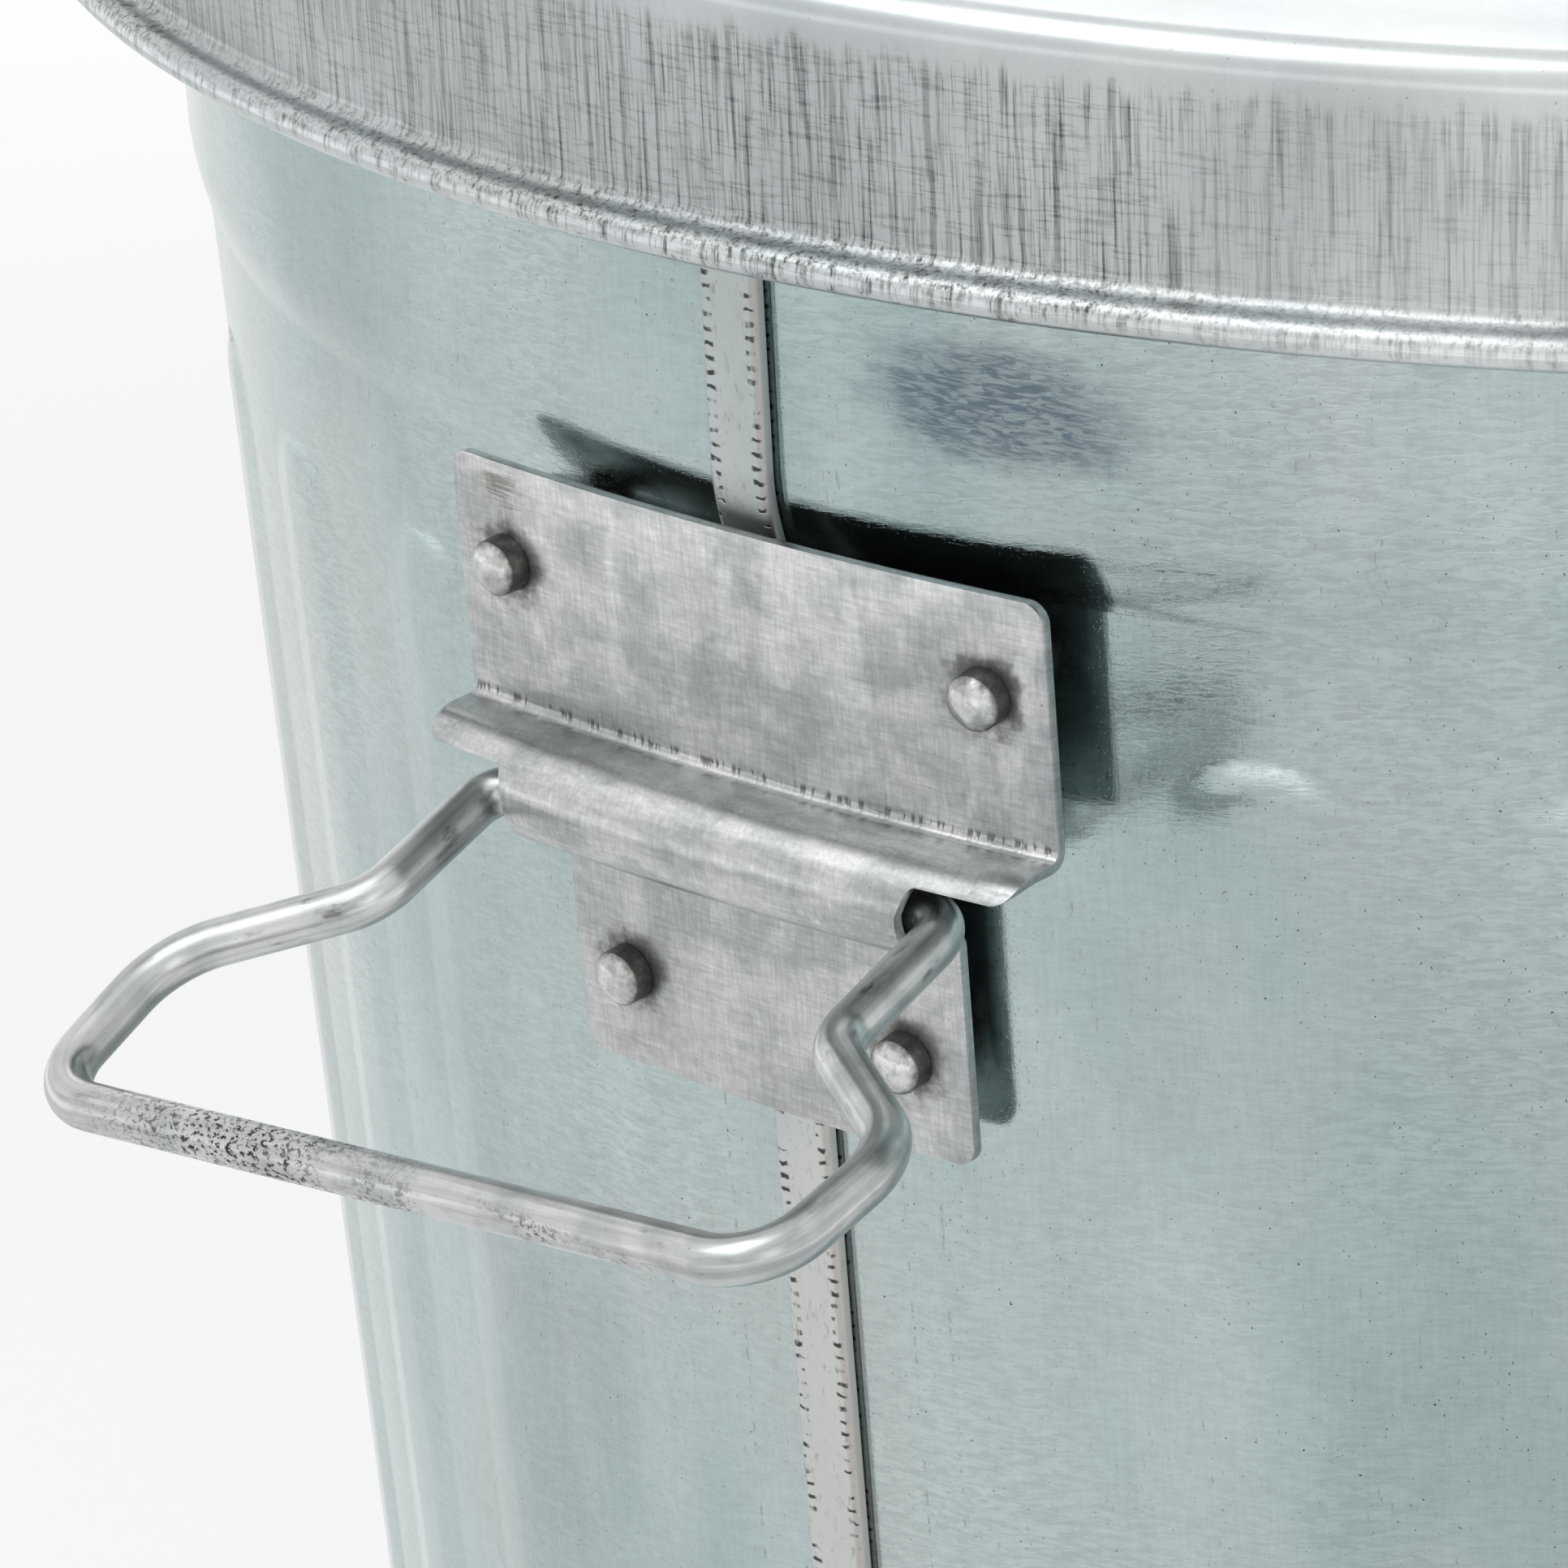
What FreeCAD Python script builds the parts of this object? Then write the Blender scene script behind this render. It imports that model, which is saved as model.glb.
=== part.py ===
import FreeCAD, Part
import math
import os

from FreeCAD import Rotation
from FreeCAD import Vector

# A round, tapered sheet steel can with a loose lid. Millimetres, +Z up, origin on the floor at the
# can's axis. The two lock seams and the two ear plates lie on -X (left) and +X (right).

# ---- wall: two half sheets, locked together at the two seams ----
RIM_TOP = 623.6          # top of the rolled rim above the floor
WALL_T = 0.6             # sheet thickness
WALL_FOOT = 1.0          # lower edge of the sheets above the floor
BAND_HEIGHT = 73.2       # plain band, from the upper crease to the rim's top
BAND_RADIUS = 244.8      # outer radius at the upper crease
BAND_TAPER = 0.04        # radius gained per mm of height in the band
SHOULDER_DROP = 12.5     # from the upper crease to the lower one
SHOULDER_STEP = 2.6      # how far the wall steps in over the shoulder
SHOULDER_ROUND = 1.8     # exponent of the shoulder's rounding, 1 is a plain cone
WALL_TAPER = 0.0765      # radius gained per mm of height under the shoulder

RIBS_PER_HALF = 16
RIB_HEIGHT = 1.5
SEAM_PLAIN = 3.6         # degrees from a seam's middle to the foot of the nearest rib
RIB_SHARE = 0.605        # a rib's width, as a share of the rib pitch
CREST_SHARE = 0.34       # the flat crest, as a share of the rib's width
RIB_TOP_DROP = 31.4      # from the upper crease to the top of a rib's arch
RIB_FOOT = 48.0          # foot of the ribs above the floor
RIB_ARCH = 13.5          # height of the arched end of a rib
ARCH_STEPS = (0.0, 0.16, 0.48, 1.0)
ARCH_TIP = 0.15          # width of the arch's first step, as a share of the rib's width

RIM_ROLL = 6.5           # outer radius of the hollow rolled rim
ROLL_GAP = 0.8           # from the roll's cut edge to the wall

# ---- lock seam: four layers of the two sheets ----
SEAM_HALF = 5.5          # half of the seam's width
LAYER_GAP = 0.25         # play between the layers
JOGGLE = 1.6             # run in which the covering sheet climbs over the other one
HOOK_PLAY = 0.3          # play at the ends of the hooks
FOLD_ROUND = 0.5         # rounding of the outer fold
SEAM_FOOT = 14.0         # the seam's hooks are notched away below this height
SEAM_TOP_GAP = 4.6       # and this far under the rolled rim

# ---- bottom pan ----
PAN_T = 0.8
PAN_LIFT = 18.4          # middle of the pan's floor above the ground
PAN_CORNER = 4.0
PAN_RING_IN = 112.0      # pressed stiffening ring, inner and outer foot
PAN_RING_OUT = 146.0
PAN_RING_RISE = 5.0
PAN_RING_SLOPE = 7.0
SEAT_GAP = 0.15          # clearance of the sheet in the pan's double seam
CHIME_HEIGHT = 8.5
CHIME_BEND = 0.5

# ---- ear plates ----
EAR_T = 1.6
EAR_STANDOFF = 5.5       # back of the plate from the wall's outer surface, at the middle
EAR_BEND = 450.0         # radius to which the plate is curved
EAR_TOP_DROP = 9.3       # from the upper crease to the plate's top edge
EAR_BOTTOM_DROP = 95.9   # and to its bottom edge
KNUCKLE_DROP = 53.9        # and to the knuckle's middle
EAR_HALF = 51.8          # half width of the upper flange and the knuckle
EAR_LOWER_HALF = 34.9    # half width of the lower flange
EAR_CORNER = 3.0
KNUCKLE_BORE = 6.2       # inner radius of the rolled knuckle
KNUCKLE_FILLET = 2.2
KNUCKLE_OUT = 12.0       # knuckle's middle from the wall's outer surface
NOTCH_HALF = 36.4        # the knuckle's lower half is notched beyond this
NOTCH_RISE = 4.5         # the notch's edge above the knuckle's middle
NOTCH_ROUND = 1.5

# ---- rivets of the ear plates ----
RIVET_SHANK = 2.4
RIVET_HOLE = 2.5
RIVET_HEAD = 4.1
RIVET_HEAD_WALL = 3.1    # straight side of the head
RIVET_HEAD_DOME = 1.6    # and the dome on it
RIVET_FLAT = 0.6         # small flat that the setting tool leaves on a dome
RIVET_COLLAR = 3.6       # shoulder between plate and wall
RIVET_TAIL = 3.7
RIVET_TAIL_H = 1.6
RIVET_SEAT = 0.05        # play under the head and at the shoulder
UPPER_RIVET_Y = 42.0
UPPER_RIVET_RISE = 29.9  # above the knuckle's middle
LOWER_RIVET_Y = 24.8
LOWER_RIVET_RISE = -27.8

# ---- bails ----
WIRE_R = 3.4
BAIL_OUT = 0.7           # pivot wire's middle beyond the knuckle's middle
BAIL_SAG = 0.7           # and below it
BAIL_END = 14.0          # inner ends of the turned-in wire
BAIL_NECK = 40.7         # half distance between the necks
BAIL_NECK_LEN = 27.2
BAIL_HALF = 66.4         # half distance between the arms
BAIL_FLARE_END = 44.4
BAIL_REACH = 72.4
BAIL_END_BEND = 5.5
BAIL_NECK_BEND = 8.5
BAIL_ARM_BEND = 15.0
BAIL_CORNER_BEND = 9.5
BAIL_TWIST = -5.7        # degrees by which the loop is bent out of its plane at an arm
LEFT_BAIL_ANGLE = 70.6   # from hanging straight down, as the left bail stands
RIGHT_BAIL_ANGLE = 0.0

# ---- lid ----
LID_T = 0.7
LID_SEAT_GAP = 0.3       # between the rim's roll and the lid
SKIRT_PLAY = 3.6         # between the rim's roll and the skirt, at the shoulder
SKIRT_DEPTH = 37.4       # from the lid's outer top to the middle of its rolled edge
SKIRT_IN = 1.1           # how far the skirt draws in towards its rolled edge
SHOULDER_BEND = 4.5
LID_ROLL = 2.45          # outer radius of the lid's rolled edge
LID_ROLL_FILLET = 2.6
LID_ROLL_OUT = 2.95      # roll's middle outside the skirt
LID_LAND = 42.0          # flat ring inside the shoulder
LID_STEP = 9.0           # height of the step at the ring's inner edge
LID_STEP_RUN = 16.0
LID_CROWN = 21.0         # rise of the cone from the step to the middle
LID_CROWN_FLAT = 96.0    # radius of the flat middle
LID_BEND = 6.0

# ---- lid handle ----
STRAP_T = 1.6
STRAP_WIDTH = 27.0
STRAP_HALF = 60.0        # from the middle to the bend of a foot
STRAP_FOOT = 24.0
STRAP_RISE = 35.0
STRAP_LEAN = 12.0
STRAP_FOOT_BEND = 3.0
STRAP_TOP_BEND = 14.0
STRAP_RIB_HALF = 5.0     # pressed rib along the strap's top
STRAP_RIB_RISE = 2.0
STRAP_RIB_END = 34.0
LID_RIVET_IN = 12.0      # from the foot's bend to its rivet
LID_RIVET_HEAD = 4.6
LID_RIVET_DOME = 2.2

BAND_FOOT = RIM_TOP - BAND_HEIGHT
SHOULDER_FOOT = BAND_FOOT - SHOULDER_DROP
KNUCKLE_Z = BAND_FOOT - KNUCKLE_DROP
LEVEL_CLOSE = 0.01


def lower_radius(z):
    """Outer radius of the cone under the shoulder, also where it is carried on upwards."""
    return BAND_RADIUS - SHOULDER_STEP - WALL_TAPER * (SHOULDER_FOOT - z)


def wall_radius(z):
    """Outer radius of the wall between the ribs."""
    if z >= BAND_FOOT:
        return BAND_RADIUS + BAND_TAPER * (z - BAND_FOOT)
    if z >= SHOULDER_FOOT:
        down = (BAND_FOOT - z) / SHOULDER_DROP
        return BAND_RADIUS - SHOULDER_STEP * down**SHOULDER_ROUND
    return lower_radius(z)


# ---- outlines ----
def fillet_edges(points, radii, closed):
    """Straight runs through the points, joined by tangent arcs of the given radii (0 is sharp)."""
    count = len(points)
    corners = range(count) if closed else range(1, count - 1)
    entry = {}
    leave = {}
    arcs = {}
    for i in range(count):
        entry[i] = leave[i] = points[i]
    for i in corners:
        radius = radii[i]
        before = (points[i - 1] - points[i]).normalize()
        after = (points[(i + 1) % count] - points[i]).normalize()
        opening = before.getAngle(after)
        if radius <= 0 or abs(opening - math.pi) < 1e-6:
            continue
        run = radius / math.tan(opening / 2)
        entry[i] = points[i] + before * run
        leave[i] = points[i] + after * run
        middle = (before + after).normalize()
        crown = points[i] + middle * (radius / math.sin(opening / 2) - radius)
        arcs[i] = Part.Arc(entry[i], crown, leave[i]).toShape()
    edges = []
    for i in range(count if closed else count - 1):
        j = (i + 1) % count
        if (entry[j] - leave[i]).Length > LEVEL_CLOSE / 10:
            edges.append(Part.LineSegment(leave[i], entry[j]).toShape())
        if j in arcs:
            edges.append(arcs[j])
    return edges


def flat_face(points, radii, place):
    """Face inside a rounded outline of (a, b) pairs, set in space by place(a, b)."""
    edges = fillet_edges([place(a, b) for a, b in points], radii, True)
    return Part.Face(Part.Wire(edges))


def sheet_outline(path, bends, thickness):
    """Closed outline of a bent sheet: its middle line carried half a thickness to each side."""
    half = thickness / 2
    normals = []
    for (a0, b0), (a1, b1) in zip(path, path[1:]):
        length = math.hypot(a1 - a0, b1 - b0)
        normals.append((-(b1 - b0) / length, (a1 - a0) / length))
    sides = []
    for side in (1, -1):
        points = []
        radii = []
        for i, (a, b) in enumerate(path):
            first = normals[max(i - 1, 0)]
            second = normals[min(i, len(normals) - 1)]
            scale = side * half / (1 + first[0] * second[0] + first[1] * second[1])
            points.append((a + (first[0] + second[0]) * scale, b + (first[1] + second[1]) * scale))
            turn = first[0] * second[1] - first[1] * second[0]
            inner = side * half if turn > 0 else -side * half
            radii.append(max(bends[i] - inner, 0) if bends[i] > 0 else 0)
        sides.append((points, radii))
    points = sides[0][0] + sides[1][0][::-1]
    radii = sides[0][1] + sides[1][1][::-1]
    return points, radii


def in_xz(a, b):
    return Vector(a, 0, b)


def turned_sheet(path, bends, thickness, sweep=360, start=0):
    """A bent sheet turned about the can's axis."""
    points, radii = sheet_outline(path, bends, thickness)
    solid = flat_face(points, radii, in_xz).revolve(Vector(0, 0, 0), Vector(0, 0, 1), sweep)
    solid.rotate(Vector(0, 0, 0), Vector(0, 0, 1), start)
    return solid


def half_turn(shape):
    """The same piece on the other side of the can's axis."""
    turned = shape.copy()
    turned.rotate(Vector(0, 0, 0), Vector(0, 0, 1), 180)
    return turned


# ---- the body sheets ----
def rim_roll_foot():
    return RIM_TOP - RIM_ROLL - LEVEL_CLOSE


def wall_levels():
    """Heights of the sections through a half sheet."""
    rib_top = BAND_FOOT - RIB_TOP_DROP
    levels = [WALL_FOOT, SEAM_FOOT, SHOULDER_FOOT, BAND_FOOT, rim_roll_foot()]
    levels += [RIB_FOOT + RIB_ARCH * step for step in ARCH_STEPS]
    levels += [rib_top - RIB_ARCH * step for step in ARCH_STEPS]
    levels += [SHOULDER_FOOT + SHOULDER_DROP * share for share in (0.35, 0.7)]
    levels.append(RIM_TOP - 2 * RIM_ROLL - SEAM_TOP_GAP)
    return sorted(levels)


def rib_shape(z):
    """Width and height of the ribs at one level, as shares of their full size."""
    rib_top = BAND_FOOT - RIB_TOP_DROP
    inside = min(z - RIB_FOOT, rib_top - z)
    if inside < LEVEL_CLOSE:
        return ARCH_TIP, 0.0
    rise = min(inside / RIB_ARCH, 1.0)
    width = math.sqrt(1 - (1 - rise) ** 2)
    return max(width, ARCH_TIP), min(1.0, 1.25 * width)


def rib_angles(width):
    """For each rib, the angles of its two feet and the two edges of its crest."""
    pitch = (180 - 2 * SEAM_PLAIN) / (RIBS_PER_HALF - 1 + RIB_SHARE)
    half = pitch * RIB_SHARE / 2
    for k in range(RIBS_PER_HALF):
        middle = SEAM_PLAIN + half + k * pitch
        spread = half * width
        yield [math.radians(middle + spread * s) for s in (-1, -CREST_SHARE, CREST_SHARE, 1)]


def polar(radius, angle, z):
    return Vector(radius * math.cos(angle), radius * math.sin(angle), z)


def sheet_side(radius, z, width, height):
    """One surface of the half sheet at a level, from the seam at +X round to the one at -X."""
    x_end = math.sqrt(radius**2 - SEAM_HALF**2)
    lap = -(SEAM_HALF - JOGGLE - HOOK_PLAY)
    first = Vector(x_end, SEAM_HALF, z)
    edges = [Part.LineSegment(Vector(x_end, lap, z), first).toShape()]
    reached = math.asin(SEAM_HALF / radius)
    for feet in rib_angles(width):
        edges.append(land(radius, reached, feet[0], z))
        corners = [
            polar(radius, feet[0], z),
            polar(radius + height, feet[1], z),
            polar(radius + height, feet[2], z),
            polar(radius, feet[3], z),
        ]
        for a, b in zip(corners, corners[1:]):
            edges.append(Part.LineSegment(a, b).toShape())
        reached = feet[3]
    edges.append(land(radius, reached, math.pi - math.asin(SEAM_HALF / radius), z))
    return edges


def land(radius, start, end, z):
    middle = polar(radius, (start + end) / 2, z)
    return Part.Arc(polar(radius, start, z), middle, polar(radius, end, z)).toShape()


def sheet_section(z):
    """Closed section of the rear half sheet at one level."""
    radius = wall_radius(z)
    width, share = rib_shape(z)
    height = RIB_HEIGHT * share
    outer = sheet_side(radius, z, width, height)
    inner = sheet_side(radius - WALL_T, z, width, height)
    near = Part.LineSegment(inner[0].Vertexes[0].Point, outer[0].Vertexes[0].Point).toShape()
    far = Part.LineSegment(outer[-1].Vertexes[-1].Point, inner[-1].Vertexes[-1].Point).toShape()
    return Part.Wire(outer + [far] + inner[::-1] + [near])


def layer_heights():
    """Bottom and top of the seam's four layers above the sheet's inner surface."""
    step = WALL_T + LAYER_GAP
    return [(k * step, k * step + WALL_T) for k in range(4)]


def covering_hook():
    """Section of the sheet that climbs over the seam and folds back under its own cover."""
    layers = layer_heights()
    edge = SEAM_HALF
    climb = -SEAM_HALF + JOGGLE
    tongue = climb + HOOK_PLAY + WALL_T + HOOK_PLAY
    return [
        (climb, layers[3][1]),
        (edge - FOLD_ROUND, layers[3][1]),
        (edge, layers[3][1] - FOLD_ROUND),
        (edge, layers[1][0] + FOLD_ROUND),
        (edge - FOLD_ROUND, layers[1][0]),
        (tongue, layers[1][0]),
        (tongue, layers[1][1]),
        (edge - WALL_T, layers[1][1]),
        (edge - WALL_T, layers[3][0]),
        (climb + WALL_T / 2, layers[3][0]),
    ]


def inner_hook():
    """Section of the hook that the covered sheet turns up inside the seam."""
    layers = layer_heights()
    start = -SEAM_HALF + JOGGLE + HOOK_PLAY
    end = SEAM_HALF - WALL_T - HOOK_PLAY
    return [
        (start, layers[2][1]),
        (end, layers[2][1]),
        (end, layers[2][0]),
        (start + WALL_T, layers[2][0]),
    ]


def seam_loft(points, ends, side):
    """A hook along the seam on one side of the can. ends are two corners on the sheet itself."""
    levels = [z for z in wall_levels() if SEAM_FOOT <= z <= RIM_TOP - 2 * RIM_ROLL - SEAM_TOP_GAP]
    wires = []
    for z in levels:
        inner = math.sqrt((wall_radius(z) - WALL_T) ** 2 - SEAM_HALF**2)
        outer = math.sqrt(wall_radius(z) ** 2 - SEAM_HALF**2)
        corners = [Vector(side * (inner + h), side * s, z) for s, h in points]
        roots = [Vector(side * (outer if up else inner), side * s, z) for s, up in ends]
        ring = [roots[0]] + corners + [roots[1]]
        wires.append(Part.makePolygon(ring + [ring[0]]))
    return Part.makeLoft(wires, True, True)


def rim_roll():
    """The hollow roll over the upper half turn of the wall, on one sheet."""
    middle = RIM_ROLL - WALL_T / 2
    wall = wall_radius(rim_roll_foot()) - WALL_T / 2
    top = RIM_TOP - WALL_T / 2
    out = wall + 2 * middle
    path = [
        (wall, rim_roll_foot()),
        (wall, top),
        (out, top),
        (out, top - 2 * middle),
        (wall + ROLL_GAP, top - 2 * middle),
    ]
    bends = [0, middle, middle, middle, 0]
    joint = math.degrees(math.asin((SEAM_HALF - JOGGLE / 2) / wall))
    split = HOOK_PLAY / wall
    return turned_sheet(path, bends, WALL_T, 180 - math.degrees(split), -joint)


def rivet_spots():
    """The four rivets of an ear plate: distance from its middle and height."""
    return [
        (UPPER_RIVET_Y, KNUCKLE_Z + UPPER_RIVET_RISE),
        (-UPPER_RIVET_Y, KNUCKLE_Z + UPPER_RIVET_RISE),
        (LOWER_RIVET_Y, KNUCKLE_Z + LOWER_RIVET_RISE),
        (-LOWER_RIVET_Y, KNUCKLE_Z + LOWER_RIVET_RISE),
    ]


def rivet_axis(y, z):
    """Point on the left plate's outer surface and the plate's outward direction there."""
    turn = math.asin(y / EAR_BEND)
    out = ear_line(z) + EAR_T / 2
    back = EAR_BEND * (1 - math.cos(turn))
    lean = math.atan(WALL_TAPER)
    direction = Vector(
        -math.cos(turn) * math.cos(lean), math.sin(turn) * math.cos(lean), -math.sin(lean)
    )
    return Vector(-(out - back), y, z), direction


def rivet_holes():
    """Drills through plate and wall at the left ear plate."""
    drills = []
    reach = 3 * (EAR_STANDOFF + EAR_T)
    for y, z in rivet_spots():
        point, direction = rivet_axis(y, z)
        drills.append(Part.makeCylinder(RIVET_HOLE, 2 * reach, point - direction * reach, direction))
    return Part.makeCompound(drills)


def body_sheet():
    """The rear half sheet: ribbed wall, its two seam hooks, the rim's roll and the rivet holes."""
    wall = Part.makeLoft([sheet_section(z) for z in wall_levels()], True, True)
    cover = seam_loft(covering_hook(), [(-SEAM_HALF, True), (-SEAM_HALF, False)], -1)
    lap = -SEAM_HALF + JOGGLE + HOOK_PLAY
    inner = seam_loft(inner_hook(), [(lap, True), (lap + WALL_T, True)], 1)
    left_drills = rivet_holes()
    sheet = wall.fuse([cover, inner, rim_roll()])
    return sheet.cut([left_drills, half_turn(left_drills)]).removeSplitter()


# ---- the bottom ----
def bottom_pan():
    """Raised floor with a pressed ring, a skirt inside the wall and the double seam round its edge."""
    half = PAN_T / 2
    inner_clear = WALL_T + SEAT_GAP + half
    outer_clear = SEAT_GAP + half
    path = [
        (0, PAN_LIFT),
        (PAN_RING_IN, PAN_LIFT),
        (PAN_RING_IN + PAN_RING_SLOPE, PAN_LIFT + PAN_RING_RISE),
        (PAN_RING_OUT - PAN_RING_SLOPE, PAN_LIFT + PAN_RING_RISE),
        (PAN_RING_OUT, PAN_LIFT),
        (wall_radius(PAN_LIFT) - inner_clear, PAN_LIFT),
        (wall_radius(0) - inner_clear, half),
        (wall_radius(0) + outer_clear, half),
        (wall_radius(CHIME_HEIGHT) + outer_clear, CHIME_HEIGHT),
    ]
    bends = [0, PAN_CORNER, PAN_CORNER, PAN_CORNER, PAN_CORNER, PAN_CORNER, CHIME_BEND, CHIME_BEND, 0]
    return turned_sheet(path, bends, PAN_T)


# ---- the ear plates ----
def ear_line(z):
    """Distance of the plate's middle line from the can's axis, at the plate's middle."""
    return lower_radius(z) + EAR_STANDOFF + EAR_T / 2


def knuckle_middle():
    return lower_radius(KNUCKLE_Z) + KNUCKLE_OUT


def ear_outline():
    """The plate seen from outside: upper flange and knuckle, notches, lower flange."""
    top = BAND_FOOT - EAR_TOP_DROP
    bottom = BAND_FOOT - EAR_BOTTOM_DROP
    notch = KNUCKLE_Z + NOTCH_RISE
    step = NOTCH_HALF - EAR_LOWER_HALF
    half = [
        (EAR_HALF, top, EAR_CORNER),
        (EAR_HALF, notch, EAR_CORNER),
        (NOTCH_HALF, notch, NOTCH_ROUND),
        (EAR_LOWER_HALF, notch - 3 * step, NOTCH_ROUND),
        (EAR_LOWER_HALF, bottom, EAR_CORNER),
    ]
    points = [(y, z) for y, z, r in half] + [(-y, z) for y, z, r in half[::-1]]
    radii = [r for y, z, r in half] + [r for y, z, r in half[::-1]]
    return points, radii


def ear_plate():
    """The left plate: bent sheet with its knuckle, cut to its outline and drilled."""
    top = BAND_FOOT - EAR_TOP_DROP + EAR_CORNER
    bottom = BAND_FOOT - EAR_BOTTOM_DROP - EAR_CORNER
    round_r = KNUCKLE_BORE + EAR_T / 2
    out = knuckle_middle() + round_r
    upper = KNUCKLE_Z + round_r
    lower = KNUCKLE_Z - round_r
    path = [
        (ear_line(top), top),
        (ear_line(upper), upper),
        (out, upper),
        (out, lower),
        (ear_line(lower), lower),
        (ear_line(bottom), bottom),
    ]
    bends = [0, KNUCKLE_FILLET, round_r, round_r, KNUCKLE_FILLET, 0]
    points, radii = sheet_outline(path, bends, EAR_T)
    centre = ear_line(KNUCKLE_Z) - EAR_BEND
    profile = flat_face(points, radii, lambda a, b: Vector(-a, 0, b))
    spread = math.degrees(math.asin(EAR_HALF / EAR_BEND)) + 1
    profile.rotate(Vector(-centre, 0, 0), Vector(0, 0, 1), -spread)
    bent = profile.revolve(Vector(-centre, 0, 0), Vector(0, 0, 1), 2 * spread)
    outline, corners = ear_outline()
    depth = 4 * KNUCKLE_OUT
    cutter = flat_face(outline, corners, lambda a, b: Vector(-ear_line(KNUCKLE_Z) - depth, a, b))
    return bent.common(cutter.extrude(Vector(2 * depth, 0, 0))).cut(rivet_holes())


# ---- rivets ----
def rivet_profile(near_gap, far_gap):
    """Half section of an ear rivet along its axis; 0 is the plate's outer surface."""
    shoulder = -EAR_T - RIVET_SEAT
    wall_out = -EAR_T - near_gap + RIVET_SEAT
    tail = -EAR_T - far_gap - WALL_T - RIVET_SEAT
    return [
        (0, tail - RIVET_TAIL_H),
        (RIVET_TAIL * 0.7, tail - RIVET_TAIL_H),
        (RIVET_TAIL, tail),
        (RIVET_SHANK, tail),
        (RIVET_SHANK, wall_out),
        (RIVET_COLLAR, wall_out),
        (RIVET_COLLAR, shoulder),
        (RIVET_SHANK, shoulder),
        (RIVET_SHANK, RIVET_SEAT),
        (RIVET_HEAD, RIVET_SEAT),
        (RIVET_HEAD, RIVET_HEAD_WALL),
    ]


def headed_pin(outline, head_r, dome):
    """Solid turned from a half section that ends at the head's edge, with a domed top."""
    points = [Vector(r, 0, a) for r, a in outline]
    edge = points[-1]
    middle_r = (head_r + RIVET_FLAT) / 2
    drop = dome * (middle_r**2 - RIVET_FLAT**2) / (head_r**2 - RIVET_FLAT**2)
    crown = edge.z + dome
    flat_edge = Vector(RIVET_FLAT, 0, crown)
    edges = [Part.LineSegment(a, b).toShape() for a, b in zip(points, points[1:])]
    edges.append(Part.Arc(edge, Vector(middle_r, 0, crown - drop), flat_edge).toShape())
    edges.append(Part.LineSegment(flat_edge, Vector(0, 0, crown)).toShape())
    edges.append(Part.LineSegment(Vector(0, 0, crown), points[0]).toShape())
    return Part.Face(Part.Wire(edges)).revolve(Vector(0, 0, 0), Vector(0, 0, 1), 360)


def aim(shape, point, direction):
    """Stand a piece that was turned about Z on a point, along a direction."""
    placed = shape.copy()
    placed.Placement = FreeCAD.Placement(point, Rotation(Vector(0, 0, 1), direction))
    return placed


def rib_rise(angle, z):
    """How far the ribs stand out at an angle, in degrees from a seam's middle, and a height."""
    for feet in rib_angles(rib_shape(z)[0]):
        start, crest, crest_end, end = [math.degrees(a) for a in feet]
        if start < angle < end:
            climb = min((angle - start) / (crest - start), (end - angle) / (end - crest_end), 1)
            return RIB_HEIGHT * rib_shape(z)[1] * climb
    return 0.0


def wall_gaps(y, z):
    """Smallest and largest gap from the plate's back to the wall, across a rivet's tail."""
    point, direction = rivet_axis(y, z)
    across = direction.cross(Vector(0, 0, 1)).normalize()
    gaps = []
    for share in (-1, -0.5, 0, 0.5, 1):
        spot = point - direction * (EAR_T + EAR_STANDOFF) + across * (share * RIVET_TAIL)
        angle = math.degrees(math.atan2(abs(spot.y), -spot.x))
        surface = wall_radius(spot.z) + rib_rise(angle, spot.z)
        gaps.append(EAR_STANDOFF + math.hypot(spot.x, spot.y) - surface)
    return min(gaps), max(gaps)


def ear_rivets():
    """The four rivets of the left plate."""
    pins = []
    for y, z in rivet_spots():
        outline = rivet_profile(*wall_gaps(y, z))
        point, direction = rivet_axis(y, z)
        pins.append(aim(headed_pin(outline, RIVET_HEAD, RIVET_HEAD_DOME), point, direction))
    return Part.makeCompound(pins)


# ---- bails ----
def pivot_radius():
    return knuckle_middle() + BAIL_OUT


def pivot_height():
    return KNUCKLE_Z - BAIL_SAG


def bail(angle):
    """The left wire bail, swung up by an angle from hanging straight down."""
    half = [
        (BAIL_END, 0, 0),
        (BAIL_NECK, 0, BAIL_END_BEND),
        (BAIL_NECK, BAIL_NECK_LEN, BAIL_NECK_BEND),
        (BAIL_HALF, BAIL_FLARE_END, BAIL_ARM_BEND),
        (BAIL_HALF, BAIL_REACH, BAIL_CORNER_BEND),
    ]
    flat = half + [(-y, reach, bend) for y, reach, bend in half[::-1]]
    points = []
    for y, reach, bend in flat:
        straight = abs(y) <= BAIL_NECK
        twist = 0.0 if straight else BAIL_TWIST * y / BAIL_HALF
        swing = math.radians(angle + twist)
        x = -pivot_radius() - reach * math.sin(swing)
        points.append(Vector(x, y, pivot_height() - reach * math.cos(swing)))
    path = Part.Wire(fillet_edges(points, [bend for y, reach, bend in flat], False))
    start = Part.Wire(Part.makeCircle(WIRE_R, points[0], points[1] - points[0]))
    return path.makePipeShell([start], True, False)


# ---- lid ----
def lid_top():
    return RIM_TOP + LID_SEAT_GAP + LID_T


def skirt_radius():
    """Outer radius of the lid's skirt at the shoulder."""
    roll_outside = wall_radius(rim_roll_foot()) - WALL_T + 2 * RIM_ROLL
    return roll_outside + SKIRT_PLAY + LID_T


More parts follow.
